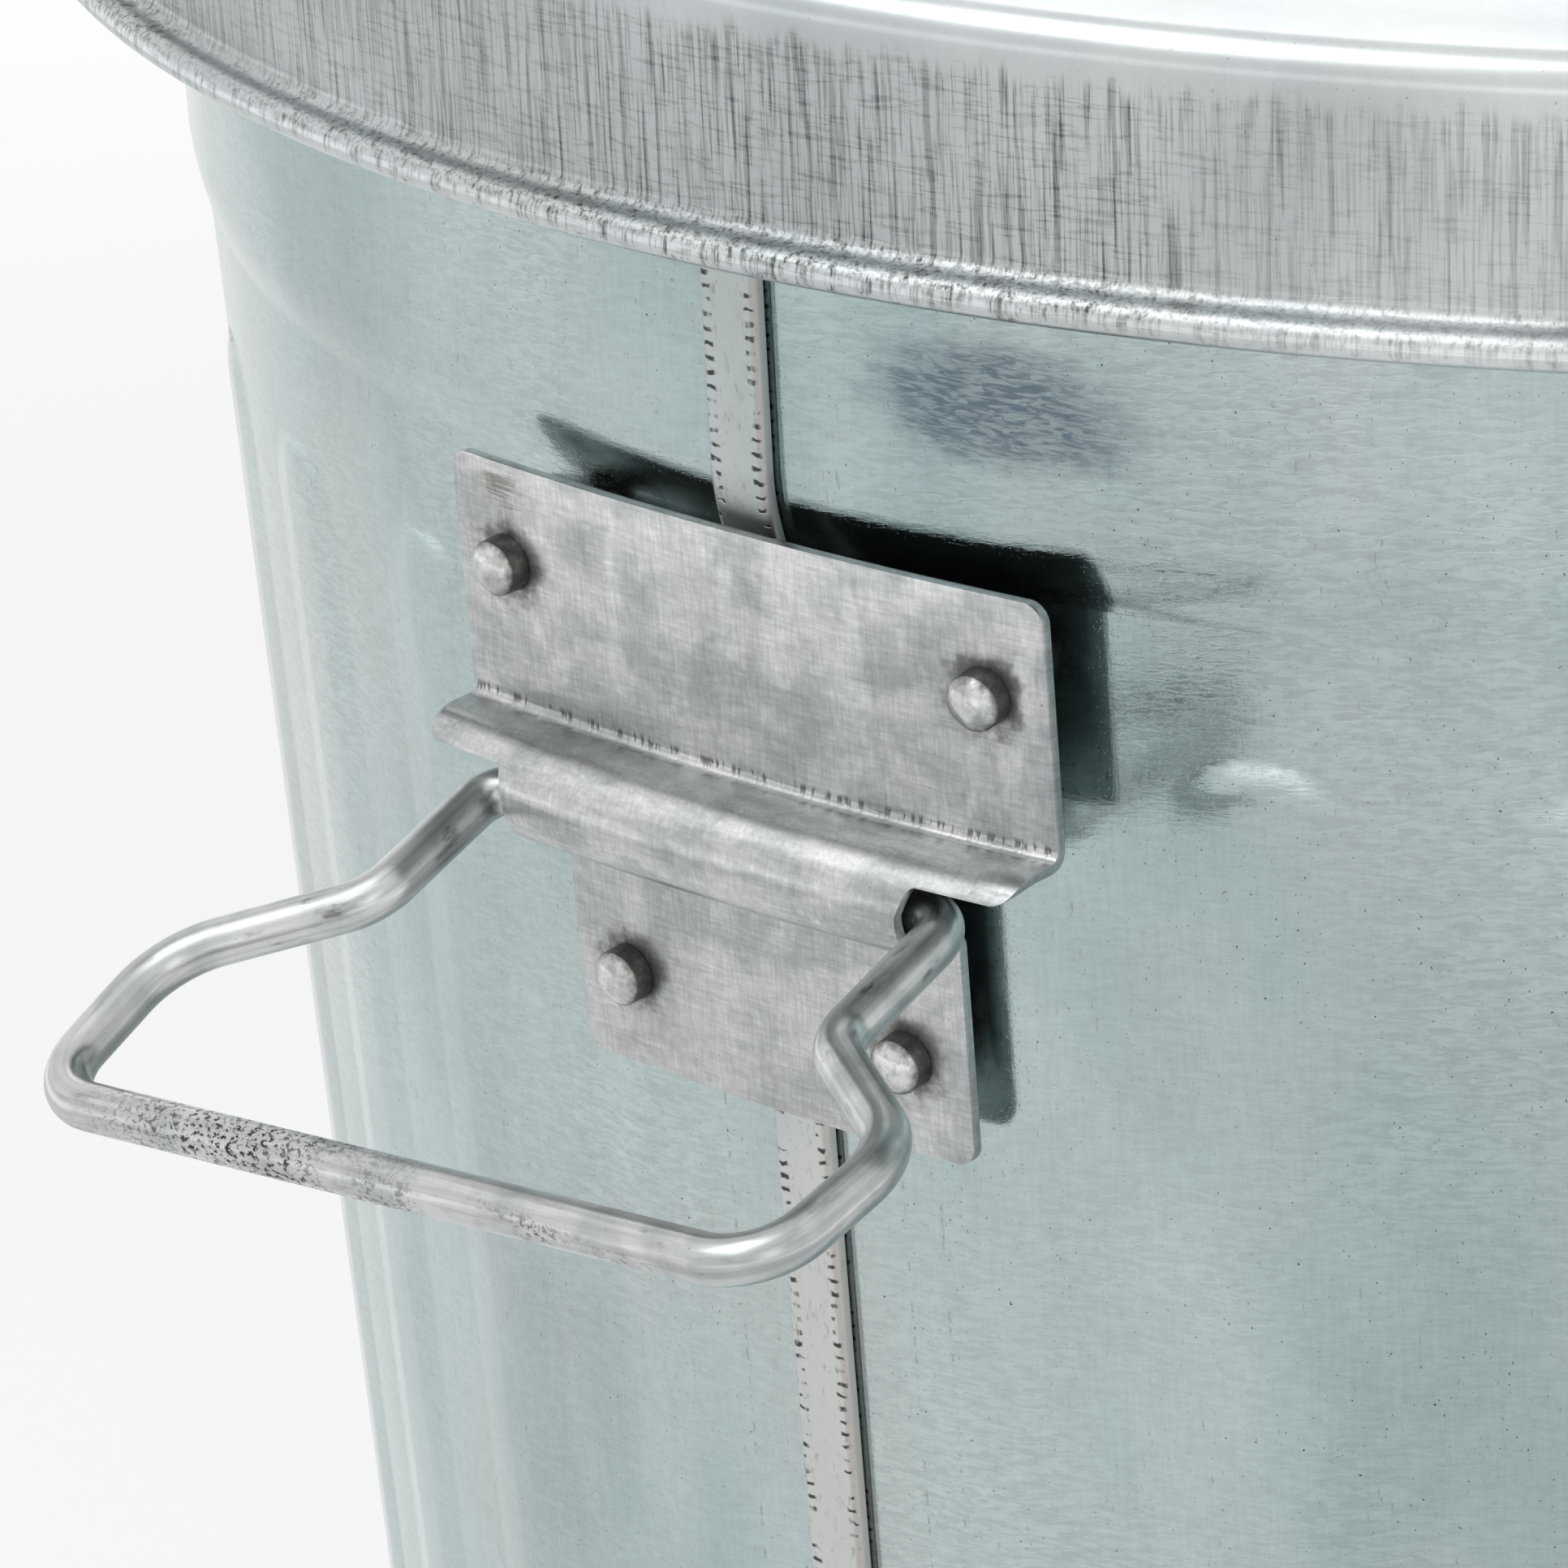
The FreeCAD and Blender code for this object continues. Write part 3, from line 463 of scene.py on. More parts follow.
@dataclass(frozen=True)
class WallZinc(Zinc):
    """The rolled and pressed wall: slanting chatter, painted shade along the rib creases beside the seam, a dark
    bluish patch and stroke marks.
    """

    slant: float = 0.10
    # Dark bluish patch on the band: its place across from the seam, its height and its size.
    dark_patch: tuple[float, float, float] = (-41.0, 565.0, 16.0)
    # Distances from the seam of the rib creases that get painted shade.
    crease_shade_lines: tuple[float, ...] = (-23.0, -16.2, 15.6)

    def run(self, sheet, place):
        """Short strokes that lie nearly level and drop a little to one side, over faint upright ones."""
        x, y, z = sheet.split(place)
        lean = sheet.sum("MULTIPLY_ADD", sheet.sum("MULTIPLY", y, sheet.sum("SIGN", x)), -self.slant, z)
        tilted = sheet.compose(x, y, lean)
        strokes = sheet.noise(tilted, (4.2, 4.2, 0.85), 3.0, 0.62, 0.9)
        strokes = sheet.step(strokes, 0.34, 0.66)
        upright = sheet.noise(place, (0.7, 0.7, 14.0), 2.0, 0.6)
        share = sheet.step(sheet.noise(place, (60.0, 60.0, 90.0), 1.0), 0.40, 0.60)
        dots = sheet.step(sheet.noise(place, (0.45, 0.45, 0.45), 2.0), 0.62, 0.72)
        total = sheet.sum("ADD", sheet.sum("MULTIPLY", strokes, sheet.sum("MULTIPLY_ADD", share, 0.45, 0.3)),
                          sheet.sum("MULTIPLY", upright, sheet.sum("MULTIPLY_ADD", share, -0.35, 0.6)))
        return sheet.sum("MULTIPLY_ADD", dots, -0.45, total)

    def marks(self, sheet, place, colour, rough, normal):
        """Dark bluish patch on the band, painted shade along the rib creases beside the seam and fine brown dashes."""
        x, y, z = sheet.split(place)
        side = sheet.sum("MULTIPLY", y, sheet.sum("MULTIPLY", sheet.sum("SIGN", x), -1.0))
        # A dark bluish patch on the band, streaked by hatching; it also makes the metal a little rougher.
        cloud = sheet.noise(place, (9.0, 9.0, 4.0), 3.0, 0.6)
        reach_y = sheet.sum("DIVIDE", sheet.sum("SUBTRACT", side, self.dark_patch[0]), self.dark_patch[2] * 1.25)
        reach_z = sheet.sum("DIVIDE", sheet.sum("SUBTRACT", z, self.dark_patch[1]), self.dark_patch[2] * 0.55)
        reach = sheet.vector("LENGTH", sheet.compose(reach_y, reach_z, 0.0))
        dark_patch = sheet.step(sheet.sum("MULTIPLY_ADD", cloud, 0.9, reach), 1.75, 0.95)
        hatch = sheet.step(sheet.noise(place, (5.0, 5.0, 0.9), 3.0, 0.6, 1.6), 0.40, 0.60)
        dark_patch = sheet.sum("MULTIPLY", dark_patch, sheet.sum("MULTIPLY_ADD", hatch, 0.45, 0.45))
        colour = sheet.blend(sheet.sum("MULTIPLY", dark_patch, 1.05, clamp=True), colour, (0.11, 0.15, 0.185))
        dash = sheet.step(sheet.noise(place, (0.9, 0.9, 3.4), 2.0, 0.6), 0.66, 0.74)
        area = sheet.step(sheet.noise(place, (26.0, 26.0, 50.0), 2.0), 0.42, 0.62)
        dash = sheet.sum("MULTIPLY", dash, area)
        # Painted shade: dark broken lines along the rib creases beside the seam, fading out between 470 and 536 mm
        # high.
        lines = None
        for off in self.crease_shade_lines:
            line = sheet.band(side, off - 0.15, off + 0.15, 0.25)
            lines = line if lines is None else sheet.sum("MAXIMUM", lines, line)
        broken = sheet.step(sheet.noise(place, (3.0, 3.0, 1.8), 3.0, 0.7), 0.50, 0.62)
        lines = sheet.sum("MULTIPLY", sheet.sum("MULTIPLY", lines, broken), sheet.step(z, 536.0, 470.0))
        # The real brown dashes and the painted crease shade share one brown tone.
        dashes_and_crease_shade = sheet.sum("MAXIMUM", sheet.sum("MULTIPLY", dash, 0.42), sheet.sum("MULTIPLY", lines, 0.6))
        colour = sheet.blend(dashes_and_crease_shade, colour, (0.19, 0.16, 0.14))
        return colour, sheet.sum("MULTIPLY_ADD", dark_patch, 0.06, rough), normal


@dataclass(frozen=True)
class SeamZinc(Zinc):
    """The flattened lock seam, with the pits of the seaming wheels along both edges."""

    pit_pitch: float = 2.05
    pit_rows: tuple[tuple[float, float], ...] = ((-4.6, -3.2), (2.6, 4.2))

    def marks(self, sheet, place, colour, rough, normal):
        """Two broken rows of short dark pits on a pale, streaky ground."""
        x, y, z = sheet.split(place)
        away = sheet.sum("MULTIPLY", y, sheet.sum("SIGN", sheet.sum("MULTIPLY", x, -1.0)))
        jitter = sheet.noise(place, (1.4, 1.4, 1.4), 1.0)
        along = sheet.sum("ADD", sheet.sum("DIVIDE", z, self.pit_pitch), sheet.sum("MULTIPLY", jitter, 0.5))
        comb = sheet.sum("ABSOLUTE", sheet.sum("SUBTRACT", sheet.sum("FRACT", along), 0.5))
        width = sheet.sum("MULTIPLY_ADD", sheet.noise(place, (2.6, 2.6, 2.6), 2.0), 0.34, 0.02)
        dash = sheet.step(comb, width, sheet.sum("SUBTRACT", width, 0.12))
        rows = None
        for low, high in self.pit_rows:
            row = sheet.band(sheet.sum("ADD", away, sheet.sum("MULTIPLY", jitter, 0.8)), low, high, 0.25)
            rows = row if rows is None else sheet.sum("MAXIMUM", rows, row)
        broken = sheet.step(sheet.noise(place, (2.0, 2.0, 5.0), 2.0), 0.40, 0.56)
        pits = sheet.sum("MULTIPLY", sheet.sum("MULTIPLY", dash, rows), broken)
        ridge = sheet.band(away, -5.4, -4.5, 0.3)
        colour = sheet.blend(sheet.sum("MULTIPLY", ridge, 0.5), colour, (0.36, 0.31, 0.29))
        stain = sheet.step(sheet.noise(place, (1.2, 1.2, 3.0), 4.0, 0.7), 0.55, 0.75)
        colour = sheet.blend(sheet.sum("MULTIPLY", stain, 0.55), colour, (0.16, 0.17, 0.165))
        colour = sheet.blend(pits, colour, (0.055, 0.06, 0.06))
        return colour, sheet.sum("ADD", rough, 0.08), sheet.bump(pits, -0.12, normal)


@dataclass(frozen=True)
class LidZinc(Zinc):
    """The drawn lid: dark draw lines, a fine cross hatch and painted shade on the skirt."""

    skirt_top: float = 618.0
    skirt_foot: float = 590.0

    def marks(self, sheet, place, colour, rough, normal):
        """Draw lines that start under the shoulder, with hatching between them, and painted shade on the skirt."""
        x, y, z = sheet.split(place)
        ragged = sheet.noise(place, (2.2, 2.2, 60.0), 2.0)
        height = sheet.sum("ADD", z, sheet.sum("MULTIPLY", ragged, -9.0))
        skirt = sheet.band(height, self.skirt_foot - 8.0, self.skirt_top - 6.0, 1.6)
        zone = sheet.step(sheet.noise(place, (90.0, 90.0, 200.0), 1.0), 0.34, 0.62)
        fine = sheet.step(sheet.noise(place, (0.5, 0.5, 30.0), 3.0, 0.65), 0.46, 0.64)
        bold = sheet.step(sheet.noise(place, (1.15, 1.15, 40.0), 2.0, 0.6), 0.53, 0.63)
        hatch = sheet.step(sheet.noise(place, (6.0, 6.0, 0.6), 2.0, 0.6, 0.6), 0.50, 0.66)
        lines = sheet.sum("ADD", sheet.sum("MULTIPLY", fine, 0.46), sheet.sum("MULTIPLY", bold, 0.42))
        lines = sheet.sum("ADD", lines, sheet.sum("MULTIPLY", hatch, 0.26))
        lines = sheet.sum("MULTIPLY", sheet.sum("MULTIPLY", lines, skirt), sheet.sum("MULTIPLY_ADD", zone, 0.75, 0.55))
        # Painted shade: the upright skirt band is darkened by 6 to 40 percent, more in cloudy patches.
        drawn = sheet.band(z, self.skirt_foot, self.skirt_top + 3.0, 2.5)
        cloud = sheet.noise(place, (46.0, 46.0, 30.0), 2.0)
        colour = sheet.shade(colour, sheet.sum("SUBTRACT", 1.0, sheet.sum(
            "MULTIPLY", drawn, sheet.sum("MULTIPLY_ADD", cloud, 0.34, 0.06))))
        colour = sheet.blend(sheet.sum("MULTIPLY", lines, 1.0, clamp=True), colour, (0.085, 0.088, 0.085))
        rough = sheet.sum("ADD", rough, sheet.sum("MULTIPLY", skirt, 0.08))
        return colour, rough, sheet.bump(lines, -0.03, normal)


@dataclass(frozen=True)
class EarZinc(Zinc):
    """The ear plate: cloudy grey zinc, brown stains round the rivets, crease dashes of chatter and painted shade."""

    rivets: tuple[tuple[float, float], ...] = ()
    crease: float = 505.6
    smear: tuple[float, float] = (42.5, 537.0)

    def marks(self, sheet, place, colour, rough, normal):
        """Stains round each rivet and short dark dashes along the upper crease: chatter marks with painted shade."""
        x, y, z = sheet.split(place)
        flat = sheet.compose(0.0, y, z)
        stained = None
        cloud = sheet.noise(place, (3.0, 3.0, 3.0), 4.0, 0.65)
        for rivet_y, rivet_z in self.rivets:
            near = sheet.vector("DISTANCE", flat, (0.0, rivet_y, rivet_z))
            near = sheet.sum("ADD", near, sheet.sum("MULTIPLY", cloud, 9.0))
            spot = sheet.step(near, 12.2, 8.2)
            stained = spot if stained is None else sheet.sum("MAXIMUM", stained, spot)
        colour = sheet.blend(sheet.sum("MULTIPLY", stained, 0.75), colour, (0.085, 0.078, 0.070))
        smear = sheet.vector("DISTANCE", flat, (0.0, self.smear[0], self.smear[1]))
        smear = sheet.step(sheet.sum("MULTIPLY_ADD", cloud, 8.0, smear), 9.4, 6.0)
        scratch = sheet.step(sheet.noise(place, (14.0, 14.0, 0.8), 3.0, 0.7, 1.0), 0.46, 0.58)
        smear = sheet.sum("MULTIPLY", smear, scratch)
        colour = sheet.blend(sheet.sum("MULTIPLY", smear, 0.7), colour, (0.16, 0.14, 0.12))
        weave = sheet.noise(place, (0.55, 0.55, 5.0), 2.0, 0.6)
        weave = sheet.sum("MULTIPLY", weave, sheet.noise(place, (5.0, 5.0, 0.55), 2.0, 0.6))
        colour = sheet.shade(colour, sheet.sum("MULTIPLY_ADD", weave, 1.1, 0.73))
        # Painted shade in the upper crease, broken into short dashes like chatter marks and given a shallow dent.
        chatter_and_crease_shade = sheet.step(sheet.noise(place, (40.0, 1.1, 5.0), 2.0), 0.52, 0.60)
        crease = sheet.sum("MULTIPLY", sheet.band(z, self.crease - 0.6, self.crease + 0.6, 0.5), chatter_and_crease_shade)
        colour = sheet.blend(sheet.sum("MULTIPLY", crease, 0.8), colour, (0.10, 0.10, 0.10))
        rough = sheet.sum("ADD", rough, sheet.sum("MULTIPLY", stained, 0.15))
        return colour, rough, sheet.bump(crease, -0.10, normal)


@dataclass(frozen=True)
class WireZinc(Zinc):
    """Pale zinc on the bail wire, with streaks along it and pits under the grip."""

    def run(self, sheet, place):
        """Streaks along the wire, from its own coordinates."""
        coords = sheet.add("ShaderNodeAttribute", attribute_name="wire_place").outputs["Vector"]
        return sheet.noise(sheet.vector("MULTIPLY", coords, (1000.0, 1000.0, 1000.0)), (0.9, 0.9, 22.0), 3.0, 0.6)

    def marks(self, sheet, place, colour, rough, normal):
        """Dark pits on one side of the grip bar and darker bends."""
        coords = sheet.add("ShaderNodeAttribute", attribute_name="wire_place").outputs["Vector"]
        around, other, length = sheet.split(sheet.vector("MULTIPLY", coords, (1000.0, 1000.0, 1000.0)))
        x, y, z = sheet.split(place)
        grip = sheet.step(sheet.sum("ABSOLUTE", y), 62.0, 30.0)
        lower = sheet.step(z, 477.2, 474.6)
        pits = sheet.step(sheet.noise(place, (0.7, 1.0, 0.7), 4.0, 0.75), 0.52, 0.575)
        zone = sheet.step(sheet.noise(place, (16.0, 22.0, 16.0), 1.0), 0.28, 0.50)
        pits = sheet.sum("MULTIPLY", sheet.sum("MULTIPLY", pits, lower), sheet.sum("MULTIPLY", grip, zone))
        wire = sheet.vector("MULTIPLY", coords, (1000.0, 1000.0, 1000.0))
        streak = sheet.step(sheet.noise(wire, (1.1, 1.1, 30.0), 3.0, 0.6), 0.42, 0.64)
        colour = sheet.blend(sheet.sum("MULTIPLY", streak, 0.34), colour, (0.24, 0.24, 0.235))
        rub = sheet.step(sheet.noise(wire, (2.4, 2.4, 9.0), 4.0, 0.65), 0.56, 0.72)
        neck = sheet.step(sheet.sum("ABSOLUTE", sheet.sum("SUBTRACT", sheet.sum("ABSOLUTE", y), 44.0)), 16.0, 4.0)
        rub = sheet.sum("MULTIPLY", rub, sheet.sum("MULTIPLY_ADD", neck, 0.45, 0.3))
        colour = sheet.blend(rub, colour, (0.10, 0.088, 0.075))
        colour = sheet.blend(pits, colour, (0.035, 0.032, 0.03))
        return colour, sheet.sum("ADD", rough, sheet.sum("MULTIPLY", pits, 0.2)), sheet.bump(pits, -0.08, normal)


@dataclass(frozen=True)
class RivetZinc(Zinc):
    """Rivets with rubbed domes, grimy rims and painted shade on the rim and side of the head."""

    def marks(self, sheet, place, colour, rough, normal):
        """Grime that thickens from the dome's middle to its rim and side, and painted shade that darkens the rim and
        side evenly.
        """
        reach = sheet.add("ShaderNodeAttribute", attribute_name="head_reach").outputs["Fac"]
        cloud = sheet.noise(place, (1.6, 1.6, 1.6), 3.0, 0.65)
        grime = sheet.step(sheet.sum("ADD", reach, sheet.sum("MULTIPLY", cloud, 0.6)), 1.00, 1.34)
        colour = sheet.blend(sheet.sum("MULTIPLY", grime, 0.82), colour, (0.085, 0.078, 0.070))
        # Painted shade: the head's outer rim, its side and all below the head are darkened evenly.
        colour = sheet.blend(sheet.sum("MULTIPLY", sheet.step(reach, 0.93, 0.995), 0.62), colour, (0.07, 0.066, 0.06))
        rub = sheet.step(sheet.noise(place, (0.9, 0.9, 0.9), 3.0, 0.7), 0.50, 0.66)
        colour = sheet.blend(sheet.sum("MULTIPLY", rub, 0.35), colour, (0.20, 0.19, 0.175))
        rough = sheet.sum("ADD", rough, sheet.sum("MULTIPLY", grime, 0.15))
        return colour, rough, sheet.bump(cloud, 0.10, normal)


RIVET_PLACES = ((42.0, 526.4), (-42.0, 526.4), (24.8, 468.7), (-24.8, 468.7))


class Finishes:
    """Every material of the can, made once."""

    def __init__(self) -> None:
        """Make all the materials."""
        zinc_light: Colour = (0.46, 0.545, 0.545)
        zinc_dark: Colour = (0.34, 0.43, 0.435)
        zinc_warm: Colour = (0.46, 0.465, 0.46)
        self.wall = WallZinc(
            "wall zinc", zinc_light, zinc_dark, zinc_warm, (0.075, 0.165), Grain.WAVY,
            spangle_depth=0.14, grain_depth=0.26, relief=0.020, specks=0.8,
        ).build()
        self.seam = SeamZinc(
            "seam zinc", (0.58, 0.61, 0.60), (0.42, 0.46, 0.46), (0.56, 0.54, 0.51), (0.30, 0.42), Grain.CROSSED
        ).build()
        self.lid = LidZinc(
            "lid zinc", (0.66, 0.69, 0.70), (0.54, 0.58, 0.59), (0.62, 0.63, 0.63), (0.24, 0.36), Grain.DRAWN
        ).build()
        self.ear = EarZinc(
            "ear plate zinc", (0.52, 0.535, 0.53), (0.37, 0.39, 0.39), (0.47, 0.46, 0.455), (0.26, 0.40),
            Grain.CROSSED, patch=(13.0, 13.0, 9.0), spangle=1.7, spangle_depth=0.42, grain_depth=0.22,
            relief=0.014, rivets=RIVET_PLACES,
        ).build()
        self.rivet = RivetZinc(
            "rivet zinc", (0.66, 0.68, 0.67), (0.42, 0.44, 0.44), (0.58, 0.56, 0.53), (0.22, 0.34),
            Grain.CROSSED, patch=(4.0, 4.0, 4.0), spangle_depth=0.25,
        ).build()
        self.wire = WireZinc(
            "wire zinc", (0.60, 0.62, 0.615), (0.42, 0.455, 0.455), (0.55, 0.53, 0.50), (0.22, 0.36),
            Grain.WIRE, patch=(12.0, 12.0, 12.0), grain_depth=0.22,
        ).build()
        self.strap = EarZinc(
            "strap zinc", (0.56, 0.61, 0.615), (0.42, 0.48, 0.49), (0.52, 0.52, 0.51), (0.30, 0.44),
            Grain.CROSSED, patch=(18.0, 18.0, 18.0), spangle=4.0, spangle_depth=0.22,
            rivets=((0.0, 0.0),), crease=0.0, smear=(0.0, 0.0),
        ).build()


# ---------------------------------------------------------------- the wall


@dataclass
class WallForm:
    """Sizes of the wall, its shoulder, ribs, seam and rim."""

    rim_top: float = 623.6
    thickness: float = 0.6
    foot: float = 1.0
    band_foot: float = 550.4
    band_radius: float = 244.8
    band_taper: float = 0.04
    shoulder_drop: float = 12.5
    shoulder_step: float = 2.6
    shoulder_round: float = 1.8
    taper: float = 0.0765
    rib_count: int = 16
    rib_height: float = 0.95
    seam_plain: float = 3.6
    rib_share: float = 0.605
    crest_share: float = 0.34
    rib_top: float = 519.0
    rib_foot: float = 48.0
    rib_arch: float = 13.5
    roll: float = 6.5
    roll_gap: float = 0.8
    seam_half: float = 5.5
    layer_gap: float = 0.25
    joggle: float = 1.6
    hook_play: float = 0.3
    seam_foot: float = 14.0
    seam_top: float = 606.0

    @property
    def shoulder_foot(self) -> float:
        """Height of the lower crease."""
        return self.band_foot - self.shoulder_drop

    @property
    def pitch(self) -> float:
        """Angle from rib to rib, in degrees."""
        return (180 - 2 * self.seam_plain) / (self.rib_count - 1 + self.rib_share)

    def radius(self, z: float) -> float:
        """Outer radius of the wall between the ribs at a height."""
        if z >= self.band_foot:
            return self.band_radius + self.band_taper * (z - self.band_foot)
        if z >= self.shoulder_foot:
            down = (self.band_foot - z) / self.shoulder_drop
            return self.band_radius - self.shoulder_step * down**self.shoulder_round
        return self.band_radius - self.shoulder_step - self.taper * (self.shoulder_foot - z)


class RibField:
    """Geometry Nodes that press the ribs out of a plain half wall."""

    INPUTS = ("Pitch", "Rib share", "Crest share", "Height", "Foot", "Top", "Arch", "Seam plain", "Count")

    def __init__(self, form: WallForm) -> None:
        """Keep the wall's sizes."""
        self.form = form

    def tree(self) -> bpy.types.NodeTree:
        """Build the node tree with its named inputs."""
        tree = bpy.data.node_groups.new("pressed ribs", "GeometryNodeTree")
        tree.interface.new_socket("Geometry", in_out="INPUT", socket_type="NodeSocketGeometry")
        for name in self.INPUTS:
            tree.interface.new_socket(name, in_out="INPUT", socket_type="NodeSocketFloat")
        tree.interface.new_socket("Finish", in_out="INPUT", socket_type="NodeSocketMaterial")
        tree.interface.new_socket("Geometry", in_out="OUTPUT", socket_type="NodeSocketGeometry")
        sheet = NodeSheet(tree)
        given = sheet.add("NodeGroupInput").outputs
        x, y, z = sheet.split(sheet.add("GeometryNodeInputPosition").outputs[0])
        angle = sheet.sum("DEGREES", sheet.sum("ARCTAN2", y, x))
        past = sheet.sum("SUBTRACT", angle, given["Seam plain"])
        half = sheet.sum("MULTIPLY", sheet.sum("MULTIPLY", given["Pitch"], given["Rib share"]), 0.5)
        local = sheet.sum("SUBTRACT", sheet.sum("FLOORED_MODULO", past, given["Pitch"]), half)
        away = sheet.sum("ABSOLUTE", local)
        inside = sheet.sum("MINIMUM", sheet.sum("SUBTRACT", z, given["Foot"]), sheet.sum("SUBTRACT", given["Top"], z))
        rise = sheet.sum("DIVIDE", inside, given["Arch"], clamp=True)
        short = sheet.sum("SUBTRACT", 1.0, rise)
        width = sheet.sum("SQRT", sheet.sum("SUBTRACT", 1.0, sheet.sum("MULTIPLY", short, short)))
        spread = sheet.sum("MAXIMUM", sheet.sum("MULTIPLY", half, width), 0.001)
        flank = sheet.sum("MULTIPLY", spread, sheet.sum("SUBTRACT", 1.0, given["Crest share"]))
        climb = sheet.sum("DIVIDE", sheet.sum("SUBTRACT", spread, away), flank, clamp=True)
        level = sheet.sum("MULTIPLY", width, 1.25, clamp=True)
        total = sheet.sum("MULTIPLY", given["Pitch"], given["Count"])
        on_ribs = sheet.sum("MULTIPLY", sheet.sum("GREATER_THAN", past, 0.0), sheet.sum("LESS_THAN", past, total))
        push = sheet.sum("MULTIPLY", sheet.sum("MULTIPLY", climb, level), sheet.sum("MULTIPLY", given["Height"], on_ribs))
        outward = sheet.vector("NORMALIZE", sheet.compose(x, y, 0.0))
        move = sheet.add("GeometryNodeSetPosition")
        sheet.feed(move.inputs["Geometry"], given["Geometry"])
        sheet.feed(move.inputs["Offset"], sheet.vector("MULTIPLY", outward, sheet.compose(push, push, push)))
        finish_geometry(sheet, move.outputs[0], given["Finish"])
        return tree

    def press(self, piece: bpy.types.Object, finish: bpy.types.Material) -> None:
        """Press the ribs out of a plain half wall and keep the result as its mesh."""
        form = self.form
        values = (
            form.pitch, form.rib_share, form.crest_share, form.rib_height * MM, form.rib_foot * MM,
            form.rib_top * MM, form.rib_arch * MM, form.seam_plain, float(form.rib_count),
        )
        run_tree(piece, self.tree(), {**dict(zip(self.INPUTS, values)), "Finish": finish})


def finish_geometry(sheet: NodeSheet, geometry: bpy.types.NodeSocket, finish: bpy.types.NodeSocket) -> None:
    """End a geometry tree with Realize Instances and Set Material."""
    real = sheet.add("GeometryNodeRealizeInstances")
    sheet.feed(real.inputs[0], geometry)
    paint = sheet.add("GeometryNodeSetMaterial")
    sheet.feed(paint.inputs["Geometry"], real.outputs[0])
    sheet.feed(paint.inputs["Material"], finish)
    out = sheet.add("NodeGroupOutput")
    sheet.feed(out.inputs[0], paint.outputs[0])


def run_tree(piece: bpy.types.Object, tree: bpy.types.NodeTree, values: dict[str, object]) -> None:
    """Run a geometry tree on a piece and keep the result as its plain mesh.

    Args:
        piece: The object that carries the tree for a moment.
        tree: The node tree.
        values: The tree's named inputs.
    """
    modifier = piece.modifiers.new(tree.name, "NODES")
    modifier.node_group = tree
    for item in tree.interface.items_tree:
        if item.item_type == "SOCKET" and item.in_out == "INPUT" and item.name in values:
            modifier[item.identifier] = values[item.name]
    evaluated = piece.evaluated_get(bpy.context.evaluated_depsgraph_get())
    mesh = bpy.data.meshes.new_from_object(evaluated)
    piece.modifiers.remove(modifier)
    piece.data = mesh
    mesh.name = piece.name


